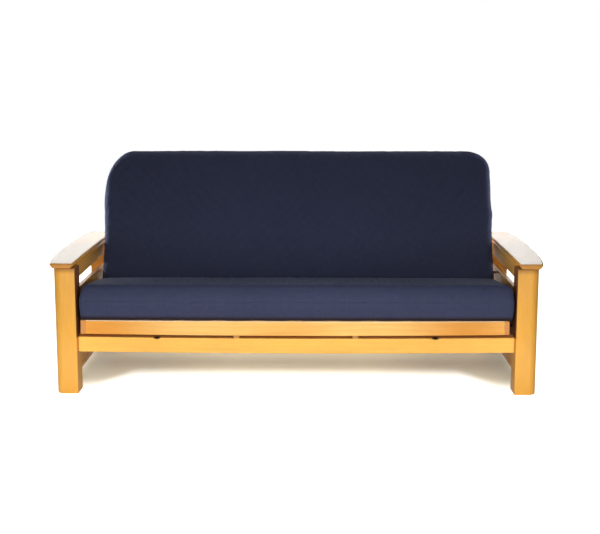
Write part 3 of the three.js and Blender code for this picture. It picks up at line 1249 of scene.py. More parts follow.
@dataclass
class LongRails:
    """The two rails that join the arms, a batten, and the blocks that the seat deck rests on.

    Attributes:
        finishes: the finishes.
        ease: radius of the rails' edges.
        block_ease: radius of the blocks' edges.
        hang: how the front rail hangs down, with what it carries.
    """

    finishes: Finishes
    ease: float = 3.5 * MM
    block_ease: float = 0.8 * MM
    hang: Hang = Hang(6.5 * MM, 963 * MM)

    def build(self) -> None:
        """Builds the rails, the batten and the blocks."""
        for node in ("front_rail", "rear_rail"):
            hang = self.hang if node == "front_rail" else None
            hand_over(eased_copy(node, self.ease, ALONG_X, hang), self.finishes.pale, [node])
        # The batten and the rest blocks are darkened with painted shade, for the gap under the seat deck.
        batten = eased_copy("rest_batten", self.ease, ALONG_X, self.hang)
        hand_over(batten, self.finishes.shaded, ["rest_batten"])
        for side in Side:
            node = f"rest_block_{side.label}"
            block = eased_copy(node, self.block_ease, ALONG_X, self.hang, segments=2)
            hand_over(block, self.finishes.dusty, [node])


class GeometryTree(Nodes):
    """A Geometry Nodes tree with named inputs, the last of them the material."""

    def __init__(self, name: str, inputs: dict[str, Socket]) -> None:
        """Starts the tree.

        Args:
            name: name of the tree.
            inputs: what each input between the geometry and the material carries.
        """
        super().__init__(bpy.data.node_groups.new(name, "GeometryNodeTree"))
        ends = {"Geometry": Socket.GEOMETRY}
        self.open_sockets({**ends, **inputs, "Material": Socket.MATERIAL}, ends)

    def store(self, geometry: Signal, name: str, value: Signal, domain: str) -> Signal:
        """Stores a vector on each point or instance of a geometry under a name."""
        inputs = {"Geometry": geometry, "Name": name, "Value": value}
        kind = "GeometryNodeStoreNamedAttribute"
        return self.one(kind, "Geometry", inputs, data_type="FLOAT_VECTOR", domain=domain)

    def end_with(self, geometry: Signal) -> None:
        """Realizes the instances, sets the material and closes the tree.

        Args:
            geometry: what the tree has made.
        """
        plain = self.one("GeometryNodeRealizeInstances", 0, {0: geometry})
        inputs = {"Geometry": plain, "Material": self.given["Material"]}
        self.feed(self.out[0], self.one("GeometryNodeSetMaterial", 0, inputs))

    def use_on(self, piece: bpy.types.Object, values: dict[str, object]) -> None:
        """Puts the tree on an object.

        Args:
            piece: the object.
            values: the value of each input by its name.
        """
        modifier = piece.modifiers.new(self.tree.name, "NODES")
        modifier.node_group = self.tree
        for name, value in values.items():
            modifier[self.keys[name]] = value


def slat_row_tree() -> GeometryTree:
    """A row of equal slats side by side along X, each with its own piece of grain.

    Returns:
        The tree.
    """
    kinds = dict.fromkeys(("Pitch", "Size", "First", "Deck turn"), Socket.VECTOR)
    tree = GeometryTree("slat_row", {"Count": Socket.COUNT, **kinds, "Seed": Socket.COUNT})
    given = tree.given
    slat = tree.one("GeometryNodeMeshCube", "Mesh", {"Size": given["Size"]})
    parts = tree.split(tree.one("GeometryNodeInputPosition", 0, {}))
    turned = tree.one("ShaderNodeCombineXYZ", 0, {0: parts["Y"], 1: parts["X"], 2: parts["Z"]})
    slat = tree.store(slat, "board", turned, "POINT")
    inputs = {"Count": given["Count"], "Start Location": given["First"], "Offset": given["Pitch"]}
    row = tree.one("GeometryNodeMeshLine", "Mesh", inputs, mode="OFFSET")
    copies = tree.one("GeometryNodeInstanceOnPoints", 0, {"Points": row, "Instance": slat})
    inputs = {"Min": (0.0, -0.15, 0.0), "Max": (9.0, 0.15, 0.08), "Seed": given["Seed"]}
    lot = tree.one("FunctionNodeRandomValue", "Value", inputs, data_type="FLOAT_VECTOR")
    copies = tree.store(copies, "lot", lot, "INSTANCE")
    inputs = {"Geometry": copies, "Rotation": given["Deck turn"]}
    tree.end_with(tree.one("GeometryNodeTransform", 0, inputs))
    return tree


@dataclass
class Deck:
    """One slatted deck: four rails from the frame, and a row of slats between the long ones.

    Attributes:
        name: "seat" or "back".
        first_rail: name of its lower or front rail.
        last_rail: name of its upper or rear rail.
        tilt: turn of the deck about X.
        finishes: the finishes.
        slats: the tree that makes its slats.
        hang: how its front rail hangs down under the load.
        ease: radius of the rails' edges.
        slat_ease: radius of the slats' edges.
    """

    name: str
    first_rail: str
    last_rail: str
    tilt: float
    finishes: Finishes
    slats: GeometryTree
    hang: Hang | None = None
    ease: float = 2.5 * MM
    slat_ease: float = 2 * MM

    @property
    def turn(self) -> Matrix:
        """The deck's turn about X."""
        return Matrix.Rotation(self.tilt, 3, "X")

    def own_box(self, node: str) -> tuple[Vector, Vector]:
        """Lowest and highest corner of a node in the deck's own, level frame."""
        places = vertices_of(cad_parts[node]) @ np.array(self.turn)
        return Vector(places.min(axis=0)), Vector(places.max(axis=0))

    def build_rails(self) -> None:
        """Builds the four rails."""
        along = self.turn @ Vector((0, 1, 0))
        normal = self.turn @ Vector((0, 0, 1))
        lengthways = Grain(Vector((1, 0, 0)), normal)
        sideways = Grain(along, normal)
        rails = {
            f"{self.name}_{self.first_rail}": (lengthways, self.finishes.figured),
            f"{self.name}_{self.last_rail}": (lengthways, self.finishes.honey),
        }
        for side in Side:
            rails[f"{self.name}_side_rail_{side.label}"] = (sideways, self.finishes.honey)
        for node, (grain, coating) in rails.items():
            hang = self.hang if node.endswith("front_rail") else None
            piece = eased_copy(node, self.ease, grain, hang)
            # Painted highlight on the upper front edge of the seat's front rail.
            if coating is self.finishes.figured:
                self.mark_worn_edge(piece, normal)
            hand_over(piece, coating, [node])

    @staticmethod
    def mark_worn_edge(piece: bpy.types.Object, normal: Vector) -> None:
        """Marks the upper front edge of a rail for a painted highlight, pale as its reflection."""
        marks = [float(face.normal @ normal > 0.2 and face.normal.y < -0.2) for face in piece.data.polygons]
        mark_faces(piece, marks)

    def build_slats(self) -> None:
        """Builds the slats as one piece from the shared tree."""
        nodes = slat_nodes(self.name)
        boxes = [self.own_box(node) for node in nodes]
        centres = sorted((low.x + high.x) / 2 for low, high in boxes)
        low, high = boxes[0]
        values = {
            "Count": len(nodes),
            "Pitch": ((centres[-1] - centres[0]) / (len(nodes) - 1), 0.0, 0.0),
            "Size": tuple(high - low),
            "First": (centres[0], (low.y + high.y) / 2, (low.z + high.z) / 2),
            "Deck turn": (self.tilt, 0.0, 0.0),
            "Seed": 7 + len(self.name),
            "Material": self.finishes.honey.material,
        }
        piece = new_mesh(f"{self.name}_slats", np.zeros((1, 3)), [])
        self.slats.use_on(piece, values)
        ease = piece.modifiers.new("ease", "BEVEL")
        ease.width = self.slat_ease
        ease.segments = 3
        apply_modifiers(piece)
        board, lot = (read_rows(piece.data.attributes[name].data, "vector") for name in ("board", "lot"))
        store_vectors(piece, "board", board + lot)
        soften_faces(piece)
        hand_over(piece, self.finishes.honey, nodes)

    def build(self) -> None:
        """Builds the deck."""
        self.build_rails()
        self.build_slats()


# ------------------------------ hardware


def bolt_head_tree() -> GeometryTree:
    """A low round bolt head on a washer at every point, facing along its own turned Z.

    Returns:
        The tree.
    """
    wider, lower, dome = 1.45, 0.5, 0.55
    kinds = {"Radius": Socket.NUMBER, "Height": Socket.NUMBER, "Turn": Socket.VECTOR}
    tree = GeometryTree("bolt_heads", kinds)
    given = tree.given
    inputs = {"Vertices": 28, "Radius": given["Radius"] * wider, "Depth": given["Height"] * lower}
    washer = tree.one("GeometryNodeMeshCylinder", "Mesh", inputs)
    inputs = {"Segments": 24, "Rings": 12, "Radius": given["Radius"]}
    head = tree.one("GeometryNodeMeshUVSphere", "Mesh", inputs)
    flat = tree.one("GeometryNodeTransform", 0, {"Geometry": head, "Scale": (1.0, 1.0, dome)})
    both = tree.add("GeometryNodeJoinGeometry")
    for part in (washer, flat):
        tree.feed(both.inputs[0], part)
    points = tree.one("GeometryNodeMeshToPoints", 0, {"Mesh": given["Geometry"]})
    inputs = {"Points": points, "Instance": Signal(tree, both.outputs[0]), "Rotation": given["Turn"]}
    tree.end_with(tree.one("GeometryNodeInstanceOnPoints", 0, inputs))
    return tree


@dataclass
class Hardware:
    """Pins that carry the decks, plates that hinge them, and the bolts of the plates.

    Attributes:
        finishes: the finishes.
        ease: radius of the edges of pins and plates.
        bolt_radius: radius of the plates' bolt heads.
        bolt_height: height of every bolt head.
        bolt_place: how far a plate's bolts stand from its ends.
        rail_bolt_radius: radius of the front rail's bolt heads.
        rail_bolt_place: distance of the front rail's bolts from the middle.
    """

    finishes: Finishes
    ease: float = 1 * MM
    bolt_radius: float = 6.5 * MM
    bolt_height: float = 3 * MM
    bolt_place: float = 15 * MM
    rail_bolt_radius: float = 11 * MM
    rail_bolt_place: float = 613 * MM

    def build_heads(
        self, name: str, points: np.ndarray, radius: float, turn: Place, heads: GeometryTree
    ) -> None:
        """Builds a piece with a bolt head at each point.

        Args:
            name: name of the piece.
            points: places of the heads.
            radius: radius of each head.
            turn: turn of each head.
            heads: the tree that makes them.
        """
        piece = new_mesh(name, points, [])
        values = {"Radius": radius, "Height": self.bolt_height, "Turn": turn}
        heads.use_on(piece, {**values, "Material": self.finishes.zinc.material})
        apply_modifiers(piece)
        soften_faces(piece)
        hand_over(piece, self.finishes.zinc)

    def build_plate_bolts(self, side: Side, heads: GeometryTree) -> None:
        """Adds a bolt head near both ends of one hinge plate.

        Args:
            side: which end of the sofa.
            heads: the tree that makes the heads.
        """
        places = vertices_of(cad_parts[f"deck_hinge_{side.label}"])
        outer = places[np.abs(places[:, 0]) > np.abs(places[:, 0]).max() - 0.5 * MM]
        middle = outer.mean(axis=0)
        spread = outer - middle
        direction = np.linalg.svd(spread, full_matrices=False)[2][0]
        reach = np.abs(spread @ direction).max() - self.bolt_place
        points = np.array([middle + sign * reach * direction for sign in (-1, 1)])
        points[:, 0] += side.value * self.bolt_height * 0.25
        turn = (0.0, math.pi / 2, 0.0)
        self.build_heads(f"hinge_bolts_{side.label}", points, self.bolt_radius, turn, heads)

    def build_rail_bolts(self, heads: GeometryTree) -> None:
        """Adds the bolt heads that stand on the front rail, in the gap under the seat deck.

        Args:
            heads: the tree that makes them.
        """
        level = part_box("front_rail")[1].z - LongRails.hang.drop(self.rail_bolt_place)
        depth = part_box("rest_block_left")[0].y
        points = np.array([(side.value * self.rail_bolt_place, depth, level) for side in Side])
        self.build_heads("rail_bolts", points, self.rail_bolt_radius, (0.0, 0.0, 0.0), heads)

    def build(self) -> None:
        """Builds all the hardware."""
        heads = bolt_head_tree()
        self.build_rail_bolts(heads)
        for side in Side:
            for part, style in (("seat_pin", "turned"), ("back_pin", "turned"), ("deck_hinge", "eased")):
                node = f"{part}_{side.label}"
                hand_over(eased_copy(node, self.ease, style=style), self.finishes.zinc, [node])
            self.build_plate_bolts(side, heads)


# ------------------------------ the cover


def smooth(share: np.ndarray) -> np.ndarray:
    """A share from 0 to 1 with a soft start and end."""
    return share * share * (3 - 2 * share)


def uneven(points: np.ndarray, stretch: float | Place, shift: Place) -> np.ndarray:
    """Reads even noise at the points of a grid, scaled by a stretch and moved by a shift."""
    places = points.reshape(-1, 3) * np.array(stretch) + np.array(shift)
    return np.array([noise.noise(Vector(place)) for place in places]).reshape(points.shape[:2])


def unit(vectors: np.ndarray) -> np.ndarray:
    """Vectors along the last axis, each made one long."""
    return vectors / np.maximum(np.linalg.norm(vectors, axis=-1, keepdims=True), 1e-12)


@dataclass(frozen=True)
class Rounding:
    """How an edge of the cover rounds over from its seam.

    Attributes:
        reach: how far from the seam the full thickness starts.
        power: power of the curve; 2 is an ellipse, more is squarer.
    """

    reach: float
    power: float

    def share(self, distance: np.ndarray) -> np.ndarray:
        """Share of the full half thickness at a distance from the seam."""
        gone = np.clip(1 - distance / self.reach, 0, 1)
        return np.clip(1 - gone**self.power, 0, 1) ** (1 / self.power)

    def distance(self, step: np.ndarray) -> np.ndarray:
        """Distance from the seam at even steps of the curve, from 0 at the seam to 1."""
        share = np.sin(np.clip(step, 0, 1) * math.pi / 2)
        return self.reach * (1 - np.clip(1 - share**self.power, 0, 1) ** (1 / self.power))


@dataclass(frozen=True)
class PlanCorner:
    """A corner of the cover laid flat, as a quarter ellipse."""

    across: float
    along: float

    def draw(self, distance: np.ndarray) -> np.ndarray:
        """How far the outline draws in along the mattress, at a distance from the side seam."""
        gone = np.clip(1 - distance / self.across, 0, 1)
        return self.along * (1 - np.sqrt(1 - gone**2))


@dataclass(frozen=True)
class Spacing:
    """How many cells the edges and the parts between them have, and rings added by the seam."""

    edge: int
    across: int
    seat: int
    fold: int
    back: int
    seam_rings: tuple[float, ...] = ()

    def edge_steps(self) -> np.ndarray:
        """Places across an edge from 0 at the seam to 1 at the flat, with rings close to the seam."""
        even = np.linspace(0, 1, self.edge + 1)
        return np.unique(np.concatenate([even, self.seam_rings]))

    def row_numbers(self) -> np.ndarray:
        """Row numbers of the grid, from 0 at the left seam to 3 at the right one."""
        edge = self.edge_steps()
        return np.concatenate([edge, np.linspace(1, 2, self.across + 1)[1:-1], 3 - edge[::-1]])

    def run_numbers(self) -> np.ndarray:
        """Run numbers of the grid, from 0 at the front seam to 5 at the top seam.

        Returns:
            The numbers.
        """
        edge = self.edge_steps()
        parts = [edge]
        for number, cells in enumerate((self.seat, self.fold, self.back), start=1):
            parts.append(np.linspace(number, number + 1, cells + 1)[1:])
        parts.append((5 - edge[::-1])[1:])
        return np.concatenate(parts)


@dataclass
class FutonCover:
    """The cover: two panels of twill sewn together all round the mattress, and folded in an L.

    Places on it are given by two numbers: `row` runs across it from the left seam to the right
    one, and `run` from the front seam over the seat, the fold and the back to the top seam. Each
    of them counts one for every part of the way: edge, middle parts, edge. The inner panel faces
    the sitter, and the outer one lies on the slats.
    """

    finishes: Finishes
    # The folded mattress: its thickness, the lengths of its middle, its fold and its slopes.
    thickness: float = 156 * MM
    seat_run: float = 524 * MM
    back_run: float = 651 * MM
    fold_y: float = 49 * MM
    fold_z: float = 425.5 * MM
    seat_slope: float = math.radians(7)
    back_lean: float = math.radians(20.7)
    # Swell of seat and back, crease and heel of the fold, and how the grid crowds towards it.
    crown_height: float = 8 * MM
    crease_depth: float = 8 * MM
    crease_reach: float = 34 * MM
    heel: float = 12 * MM
    crowding: float = 1.6
    # Rounded edges of both panels, and the corners laid flat.
    side_inner: Rounding = Rounding(42 * MM, 3.0)
    side_outer: Rounding = Rounding(6 * MM, 2.4)
    front_inner: Rounding = Rounding(36 * MM, 2.2)
    front_outer: Rounding = Rounding(40 * MM, 2.1)
    top_inner: Rounding = Rounding(62 * MM, 2.2)
    top_outer: Rounding = Rounding(62 * MM, 2.2)
    front_left: PlanCorner = PlanCorner(24 * MM, 12 * MM)
    front_right: PlanCorner = PlanCorner(26 * MM, 13 * MM)
    top_left: PlanCorner = PlanCorner(142 * MM, 220 * MM)
    top_right: PlanCorner = PlanCorner(120 * MM, 110 * MM)
    # Grids of the simulated bag and of the finished one.
    coarse: Spacing = Spacing(edge=7, across=64, seat=24, fold=8, back=30)
    fine: Spacing = Spacing(edge=13, across=190, seat=52, fold=18, back=66, seam_rings=(0.018, 0.045))
    # The simulation, and how far from its edges the outer panel is held fast.
    sim_frames: int = 20
    sim_grip: float = 0.6
    sim_cap: float = 4 * MM
    sim_fade: float = 90 * MM
    held_from: float = 10 * MM
    held_from_top: float = 70 * MM
    # Sag between the slats: its depth, a slat's share of the pitch, and where it starts and ends.
    slat_sag: float = 5 * MM
    slat_share: float = 0.42
    sag_fade: float = 90 * MM
    sag_from_front: float = 70 * MM
    sag_past_seat: float = 15 * MM
    sag_past_fold: float = 40 * MM
    sag_from_top: float = 120 * MM
    # Gap by posts, seam, welt, stitches, seam wear, painted contact shade, hang of the lower front.
    post_gap: float = 2 * MM
    seam_drop: float = -5.5 * MM
    seam_depth: float = 1.0 * MM
    welt_radius: float = 0.8 * MM
    welt_out: float = 0.6 * MM
    welt_width: float = 1.2
    stitch_lift: float = 0.15 * MM
    worn_reach: float = 1.2 * MM
    soil_from: float = 0.73
    soil_span: float = 0.17
    hang: Hang = Hang(2.5 * MM, 950 * MM)

    # How far the side seams stand from the middle, at places along the mattress.
    SIDE_SEAM = (
        {"along": 0, "left": 950, "right": 953},
        {"along": 300, "left": 950, "right": 953},
        {"along": 560, "left": 950, "right": 950},
        {"along": 870, "left": 945.5, "right": 945},
        {"along": 950, "left": 948, "right": 949},
        {"along": 1010, "left": 952.5, "right": 944},
        {"along": 1110, "left": 951, "right": 943.5},
        {"along": 1280, "left": 950, "right": 948.5},
    )
    # How the twill behaves while the bag swells and settles.
    TWILL = {
        "quality": 6,
        "mass": 0.35,
        "tension_stiffness": 18,
        "compression_stiffness": 12,
        "shear_stiffness": 6,
        "bending_stiffness": 1.2,
        "air_damping": 2.0,
        "use_pressure": True,
        "uniform_pressure_force": 4.0,
        "shrink_min": -0.012,
        "vertex_group_mass": "hold",
        "pin_stiffness": 1.0,
    }
    # Corners of a grid's cells on both panels, so that every face points outwards.
    CORNERS = {"inner": (0, 1, 2, 3), "outer": (3, 2, 1, 0)}
    STITCH = {"Pitch": 5.0 * MM, "Length": 3.4 * MM, "Thickness": 0.7 * MM}

    def __post_init__(self) -> None:
        """Works out the sizes that follow from the fold."""
        self.half = self.thickness / 2
        self.turn = math.pi / 2 - self.back_lean + self.seat_slope
        self.arc = self.half * self.turn
        self.full = self.seat_run + self.arc + self.back_run
        self.seat_along = np.array([math.cos(self.seat_slope), -math.sin(self.seat_slope)])
        self.back_along = np.array([math.sin(self.back_lean), math.cos(self.back_lean)])
        self.width = (self.SIDE_SEAM[0]["left"] + self.SIDE_SEAM[0]["right"]) * MM

    # ---------- shape of the plain bag

    def side_seam(self, place: np.ndarray, column: str) -> np.ndarray:
        """Distance of a side seam from the middle.

        Args:
            place: places along the mattress.
            column: "left" or "right".

        Returns:
            The distances.
        """
        along = np.array([row["along"] for row in self.SIDE_SEAM]) * MM
        out = np.array([row[column] for row in self.SIDE_SEAM]) * MM
        index = np.clip(np.searchsorted(along, place, side="right"), 1, len(along) - 1)
        share = np.clip((place - along[index - 1]) / (along[index] - along[index - 1]), 0, 1)
        return out[index - 1] + (out[index] - out[index - 1]) * smooth(share)

    def mid_line(self, place: np.ndarray) -> tuple[np.ndarray, np.ndarray, np.ndarray]:
        """Middle of the mattress in the side view.

        Args:
            place: distances from the front face.

        Returns:
            The (y, z) point, the (y, z) normal to the sitter, and the share of the fold's turn.
        """
        on_seat = np.minimum(place, self.seat_run) - self.seat_run
        on_back = np.maximum(place - self.seat_run - self.arc, 0)
        turned = np.clip((place - self.seat_run) / self.arc, 0, 1)
        angle = math.pi / 2 - self.seat_slope + turned * self.turn
        normal = np.stack([np.cos(angle), np.sin(angle)], axis=-1)
        point = np.array([self.fold_y, self.fold_z]) - self.half * normal
        point = point + on_seat[..., None] * self.seat_along + on_back[..., None] * self.back_along
        return point, normal, turned

    def crown(self, place: np.ndarray, across: np.ndarray) -> np.ndarray:
        """Swell of the seat or of the back, nothing at their ends and sides.

        Args:
            place: distances from the front face.
            across: places across the mattress, from -1 to 1.

        Returns:
            The swell.
        """
        on_seat = place < self.seat_run
        start = np.where(on_seat, 0, self.seat_run + self.arc)
        run = np.where(on_seat, self.seat_run, self.back_run)
        share = np.clip(2 * (place - start) / run - 1, -1, 1)
        return self.crown_height * (1 - share**4) * (1 - across**4)

    def crease(self, place: np.ndarray) -> np.ndarray:
        """Depth of the crease where the seat meets the back."""
        distance = np.abs(place - self.seat_run - self.arc / 2)
        return self.crease_depth * np.exp(-distance / self.crease_reach)

    def row_distance(self, row: np.ndarray) -> np.ndarray:
        """Distance of a row from the left seam.

        Args:
            row: row numbers.

        Returns:
            The distances.
        """
        reach = self.side_inner.reach
        near = self.side_inner.distance(row)
        far = self.width - self.side_inner.distance(3 - row)
        between = reach + (self.width - 2 * reach) * (row - 1)
        return np.where(row < 1, near, np.where(row > 2, far, between))

    def run_place(self, run: np.ndarray, first: np.ndarray, last: np.ndarray) -> np.ndarray:
        """Distance of a run along the mattress.

        Args:
            run: run numbers.
            first: where each row starts.
            last: where each row ends.

        Returns:
            The distances.
        """
        front = first + self.front_inner.distance(run)
        top = last - self.top_inner.distance(5 - run)
        seat_length = self.seat_run - first - self.front_inner.reach
        back_length = last - self.top_inner.reach - self.seat_run - self.arc
        seat = self.seat_run - seat_length * np.clip(2 - run, 0, 1) ** self.crowding
        fold = self.seat_run + self.arc * (run - 2)
        back = self.seat_run + self.arc + back_length * np.clip(run - 3, 0, 1) ** self.crowding
        return np.select([run < 1, run < 2, run < 3, run < 4], [front, seat, fold, back], top)

    def sheets(self, spacing: Spacing) -> Grids:
        """The two panels as grids of points.

        Args:
            spacing: how close the grid's lines are.

        Returns:
            Grids by name: the inner and outer points, their normals, the places along the
            mattress, the distances from both ends and from the nearest side and seam, and the row
            and run numbers.
        """
        row = spacing.row_numbers()
        run = spacing.run_numbers()[None, :]
        left = self.row_distance(row)[:, None]
        right = self.width - left
        first = self.front_left.draw(left) + self.front_right.draw(right)
        last = self.full - self.top_left.draw(left) - self.top_right.draw(right)
        place = self.run_place(run, first, last)
        from_front, from_top = place - first, last - place
        point, normal, turned = self.mid_line(place)
        share = left / self.width
        x = -self.side_seam(place, "left") * (1 - share) + self.side_seam(place, "right") * share
        side = np.minimum(left, right)
        inner = self.half + self.crown(place, 2 * share - 1) - self.crease(place)
        inner = inner * self.side_inner.share(side)
        inner = inner * self.front_inner.share(from_front) * self.top_inner.share(from_top)
        outer = self.half + self.heel * np.sin(math.pi * turned) ** 2
        outer = outer * self.side_outer.share(side)
        outer = outer * self.front_outer.share(from_front) * self.top_outer.share(from_top)
        lower = self.seam_drop * np.clip(1 - from_front / self.front_inner.reach, 0, 1) ** 2
        loaded = np.clip(1 - place / self.seat_run, 0, 1) * self.hang.depth
        loaded = loaded * np.clip(1 - (x / self.hang.span) ** 2, 0, 1)
        made = {"row": row, "run": run[0], "place": place, "first": from_front, "last": from_top}
        for name, offset in (("inner", inner), ("outer", -outer)):
            moved = point + normal * (offset - lower)[..., None]
            made[name] = np.stack([x, moved[..., 0], moved[..., 1] - loaded], axis=-1)
        made["normal"] = np.stack([np.zeros_like(x), normal[..., 0], normal[..., 1]], axis=-1)
        made["side"] = np.broadcast_to(side, place.shape)
        made["seam"] = np.minimum(np.minimum(side, from_front), from_top)
        return made

    # ---------- grids and meshes

    @staticmethod
    def indices(shape: tuple[int, int]) -> Grids:
        """Vertex numbers of both panels, which share the seam all round.

        Args:
            shape: rows and runs of the grid.

        Returns:
            The numbers by panel.
        """
        rows, runs = shape
        inner = np.arange(rows * runs).reshape(rows, runs)
        outer = inner.copy()
        count = (rows - 2) * (runs - 2)
        outer[1:-1, 1:-1] = rows * runs + np.arange(count).reshape(rows - 2, runs - 2)
        return {"inner": inner, "outer": outer}

    def quads(self, grid: np.ndarray, panel: str) -> np.ndarray:
        """The values of a grid at the four corners of each of its cells."""
        corners = np.stack([grid[:-1, :-1], grid[1:, :-1], grid[1:, 1:], grid[:-1, 1:]], axis=2)
        return corners.reshape(-1, 4, *grid.shape[2:])[:, self.CORNERS[panel]]

    def bag(self, name: str, inner: np.ndarray, outer: np.ndarray) -> bpy.types.Object:
        """Makes one closed mesh from the two panels.

        Args:
            name: name of the object.
            inner: grid of points of the sitter's panel.
            outer: grid of points of the panel on the boards.

        Returns:
            The new object.
        """
        numbers = self.indices(inner.shape[:2])
        points = np.concatenate([inner.reshape(-1, 3), outer[1:-1, 1:-1].reshape(-1, 3)])
        faces = [self.quads(numbers[panel], panel) for panel in self.CORNERS]
        return new_mesh(name, points, np.concatenate(faces))

    @staticmethod
    def resampled(values: np.ndarray, old: np.ndarray, new: np.ndarray, axis: int) -> np.ndarray:
        """Reads a grid at new line numbers, along smooth curves.

        Args:
            values: the grid.
            old: its line numbers along the axis.
            new: the line numbers to read.
            axis: the axis.

        Returns:
            The new grid.
        """
        values = np.moveaxis(values, axis, 0)
        slope = np.gradient(values, old, axis=0)
        index = np.clip(np.searchsorted(old, new, side="right") - 1, 0, len(old) - 2)
        step = old[index + 1] - old[index]
        share = (new - old[index]) / step
        shape = (-1,) + (1,) * (values.ndim - 1)
        share, step = share.reshape(shape), step.reshape(shape)
        start = (1 + 2 * share) * (1 - share) ** 2 * values[index]
        start_slope = share * (1 - share) ** 2 * step * slope[index]
        end = share**2 * (3 - 2 * share) * values[index + 1]
        end_slope = share**2 * (share - 1) * step * slope[index + 1]
        return np.moveaxis(start + start_slope + end + end_slope, 0, axis)

    @staticmethod
    def surface_normals(points: np.ndarray) -> np.ndarray:
        """Outward normals of the inner panel's grid; the outer panel's are their opposites."""
        return unit(np.cross(np.gradient(points, axis=0), np.gradient(points, axis=1)))

    # ---------- cloth simulation

    def settled_moves(self, plain: Grids, numbers: Grids) -> np.ndarray:
        """Lets a coarse bag swell and settle as cloth.

        Args:
            plain: the grids of the plain bag.
            numbers: its vertex numbers by panel.

        Returns:
            How far each of its vertices has moved.
        """
        bag = self.bag("settling_bag", plain["inner"], plain["outer"])
        rest = vertices_of(bag)
        hold = bag.vertex_groups.new(name="hold")
        grip = np.full(len(rest), self.sim_grip)
        lying = (plain["side"] > self.held_from) & (plain["first"] > self.held_from)
        lying &= plain["last"] > self.held_from_top
        grip[numbers["outer"][lying]] = 1.0
        for level in np.unique(grip):
            hold.add([int(k) for k in np.flatnonzero(grip == level)], float(level), "REPLACE")
        cloth = bag.modifiers.new("settle", "CLOTH")
        for name, value in self.TWILL.items():
            setattr(cloth.settings, name, value)
        cloth.settings.effector_weights.gravity = 0.0
        cloth.collision_settings.use_collision = False
        cloth.point_cache.frame_start = 1
        cloth.point_cache.frame_end = self.sim_frames
        scene = bpy.context.scene
        for number in range(1, self.sim_frames + 1):
            scene.frame_set(number)
        evaluated = bag.evaluated_get(bpy.context.evaluated_depsgraph_get())
        moved = read_rows(evaluated.data.vertices, "co") - rest
        scene.frame_set(1)
        bpy.data.objects.remove(bag)
        return moved

    def simulate(self) -> Grids:
        """Keeps the waves of the settled bag without its even swelling.

        Returns:
            How far both panels stand out on the coarse grid, with its row and run numbers.
        """
        plain = self.sheets(self.coarse)
        numbers = self.indices(plain["place"].shape)
        moved = self.settled_moves(plain, numbers)
        from_fold = np.abs(plain["place"] - self.seat_run - self.arc / 2) - self.arc / 2
        free = smooth(np.clip(np.minimum(from_fold, plain["seam"]) / self.sim_fade, 0, 1))
        made = {"row": plain["row"], "run": plain["run"]}
        for sheet, sign in (("inner", 1), ("outer", -1)):
            normal = self.surface_normals(plain[sheet]) * sign
            swell = (moved[numbers[sheet]] * normal).sum(axis=-1)
            made[sheet] = np.clip(swell - self.blurred(swell), -self.sim_cap, self.sim_cap) * free
            waves = np.abs(made[sheet]).max() / MM
            log.info("%s panel: swells by %.1f mm, waves of %.1f mm", sheet, swell.max() / MM, waves)
        return made

    @staticmethod
    def blurred(values: np.ndarray, times: int = 12) -> np.ndarray:
        """Evens a grid out along both of its directions.

        Args:
            values: the grid.
            times: how often.

        Returns:
            The even grid.
        """
        for axis in (0, 1) * times:
            reach = [(1, 1) if k == axis else (0, 0) for k in range(values.ndim)]
            wide = np.moveaxis(np.pad(values, reach, mode="edge"), axis, 0)
            values = np.moveaxis((wide[:-2] + 2 * wide[1:-1] + wide[2:]) / 4, 0, axis)
        return values

    # ---------- finer shape

    def slat_sag_grid(self, grids: Grids) -> np.ndarray:
        """How far the outer panel sags between the slats that carry it.

        Args:
            grids: the grids of the plain bag.

        Returns:
            The sag.
        """
        x, place = grids["outer"][..., 0], grids["place"]
        slats = [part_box(node) for node in slat_nodes("seat")]
        centres = np.array(sorted((low.x + high.x) / 2 for low, high in slats))
        pitch = centres[1] - centres[0]
        apart = np.abs((x - centres[0]) / pitch - np.round((x - centres[0]) / pitch)) * 2
        free = np.clip((apart - self.slat_share) / (1 - self.slat_share), 0, 1)
        free = np.where(np.abs(x) < centres[-1] + pitch / 2, free, 0)
        start = self.seat_run + self.arc + self.sag_past_fold
        seat = np.minimum(place - self.sag_from_front, self.seat_run + self.sag_past_seat - place)
        back = np.minimum(place - start, self.full - self.sag_from_top - place)
        span = smooth(np.clip(np.maximum(seat, back) / self.sag_fade, 0, 1))
        return self.slat_sag * np.sin(free * math.pi / 2) ** 2 * span

    def ripples(self, points: np.ndarray, seam: np.ndarray) -> np.ndarray:
        """Small unevenness of a panel: slow waves everywhere, short puckers by the seam.

        Args:
            points: the panel's grid.
            seam: distances from the seam.

        Returns:
            How far each point stands out.
        """
        slow = uneven(points, (3.1, 5.0, 5.0), (0, 0, 4))
        quick = uneven(points, 17, (0, 9, 0))
        pucker = uneven(points, 34, (5, 0, 0))
        near = np.exp(-np.maximum(seam, 0) / (9 * MM))
        return (2.2 * slow + 0.7 * quick + 1.8 * near * pucker) * MM

    def cut_map(self, piece: bpy.types.Object, inner: np.ndarray, outer: np.ndarray) -> None:
        """Lays a map in metres on the cover, as its panels were cut.

        Args:
            piece: the finished bag.
            inner: its inner grid.
            outer: its outer grid.
        """
        corners = []
        for panel, grid in (("inner", inner), ("outer", outer)):
            across = np.cumsum(np.linalg.norm(np.diff(grid, axis=0, prepend=grid[:1]), axis=-1), axis=0)
            across -= across[len(across) // 2]
            along = np.cumsum(np.linalg.norm(np.diff(grid, axis=1, prepend=grid[:, :1]), axis=-1), axis=1)
            corners.append(self.quads(np.stack([across, along], axis=-1), panel))
        layer = piece.data.uv_layers.new(name="cut")
        layer.data.foreach_set("uv", np.concatenate(corners).astype(np.float32).ravel())

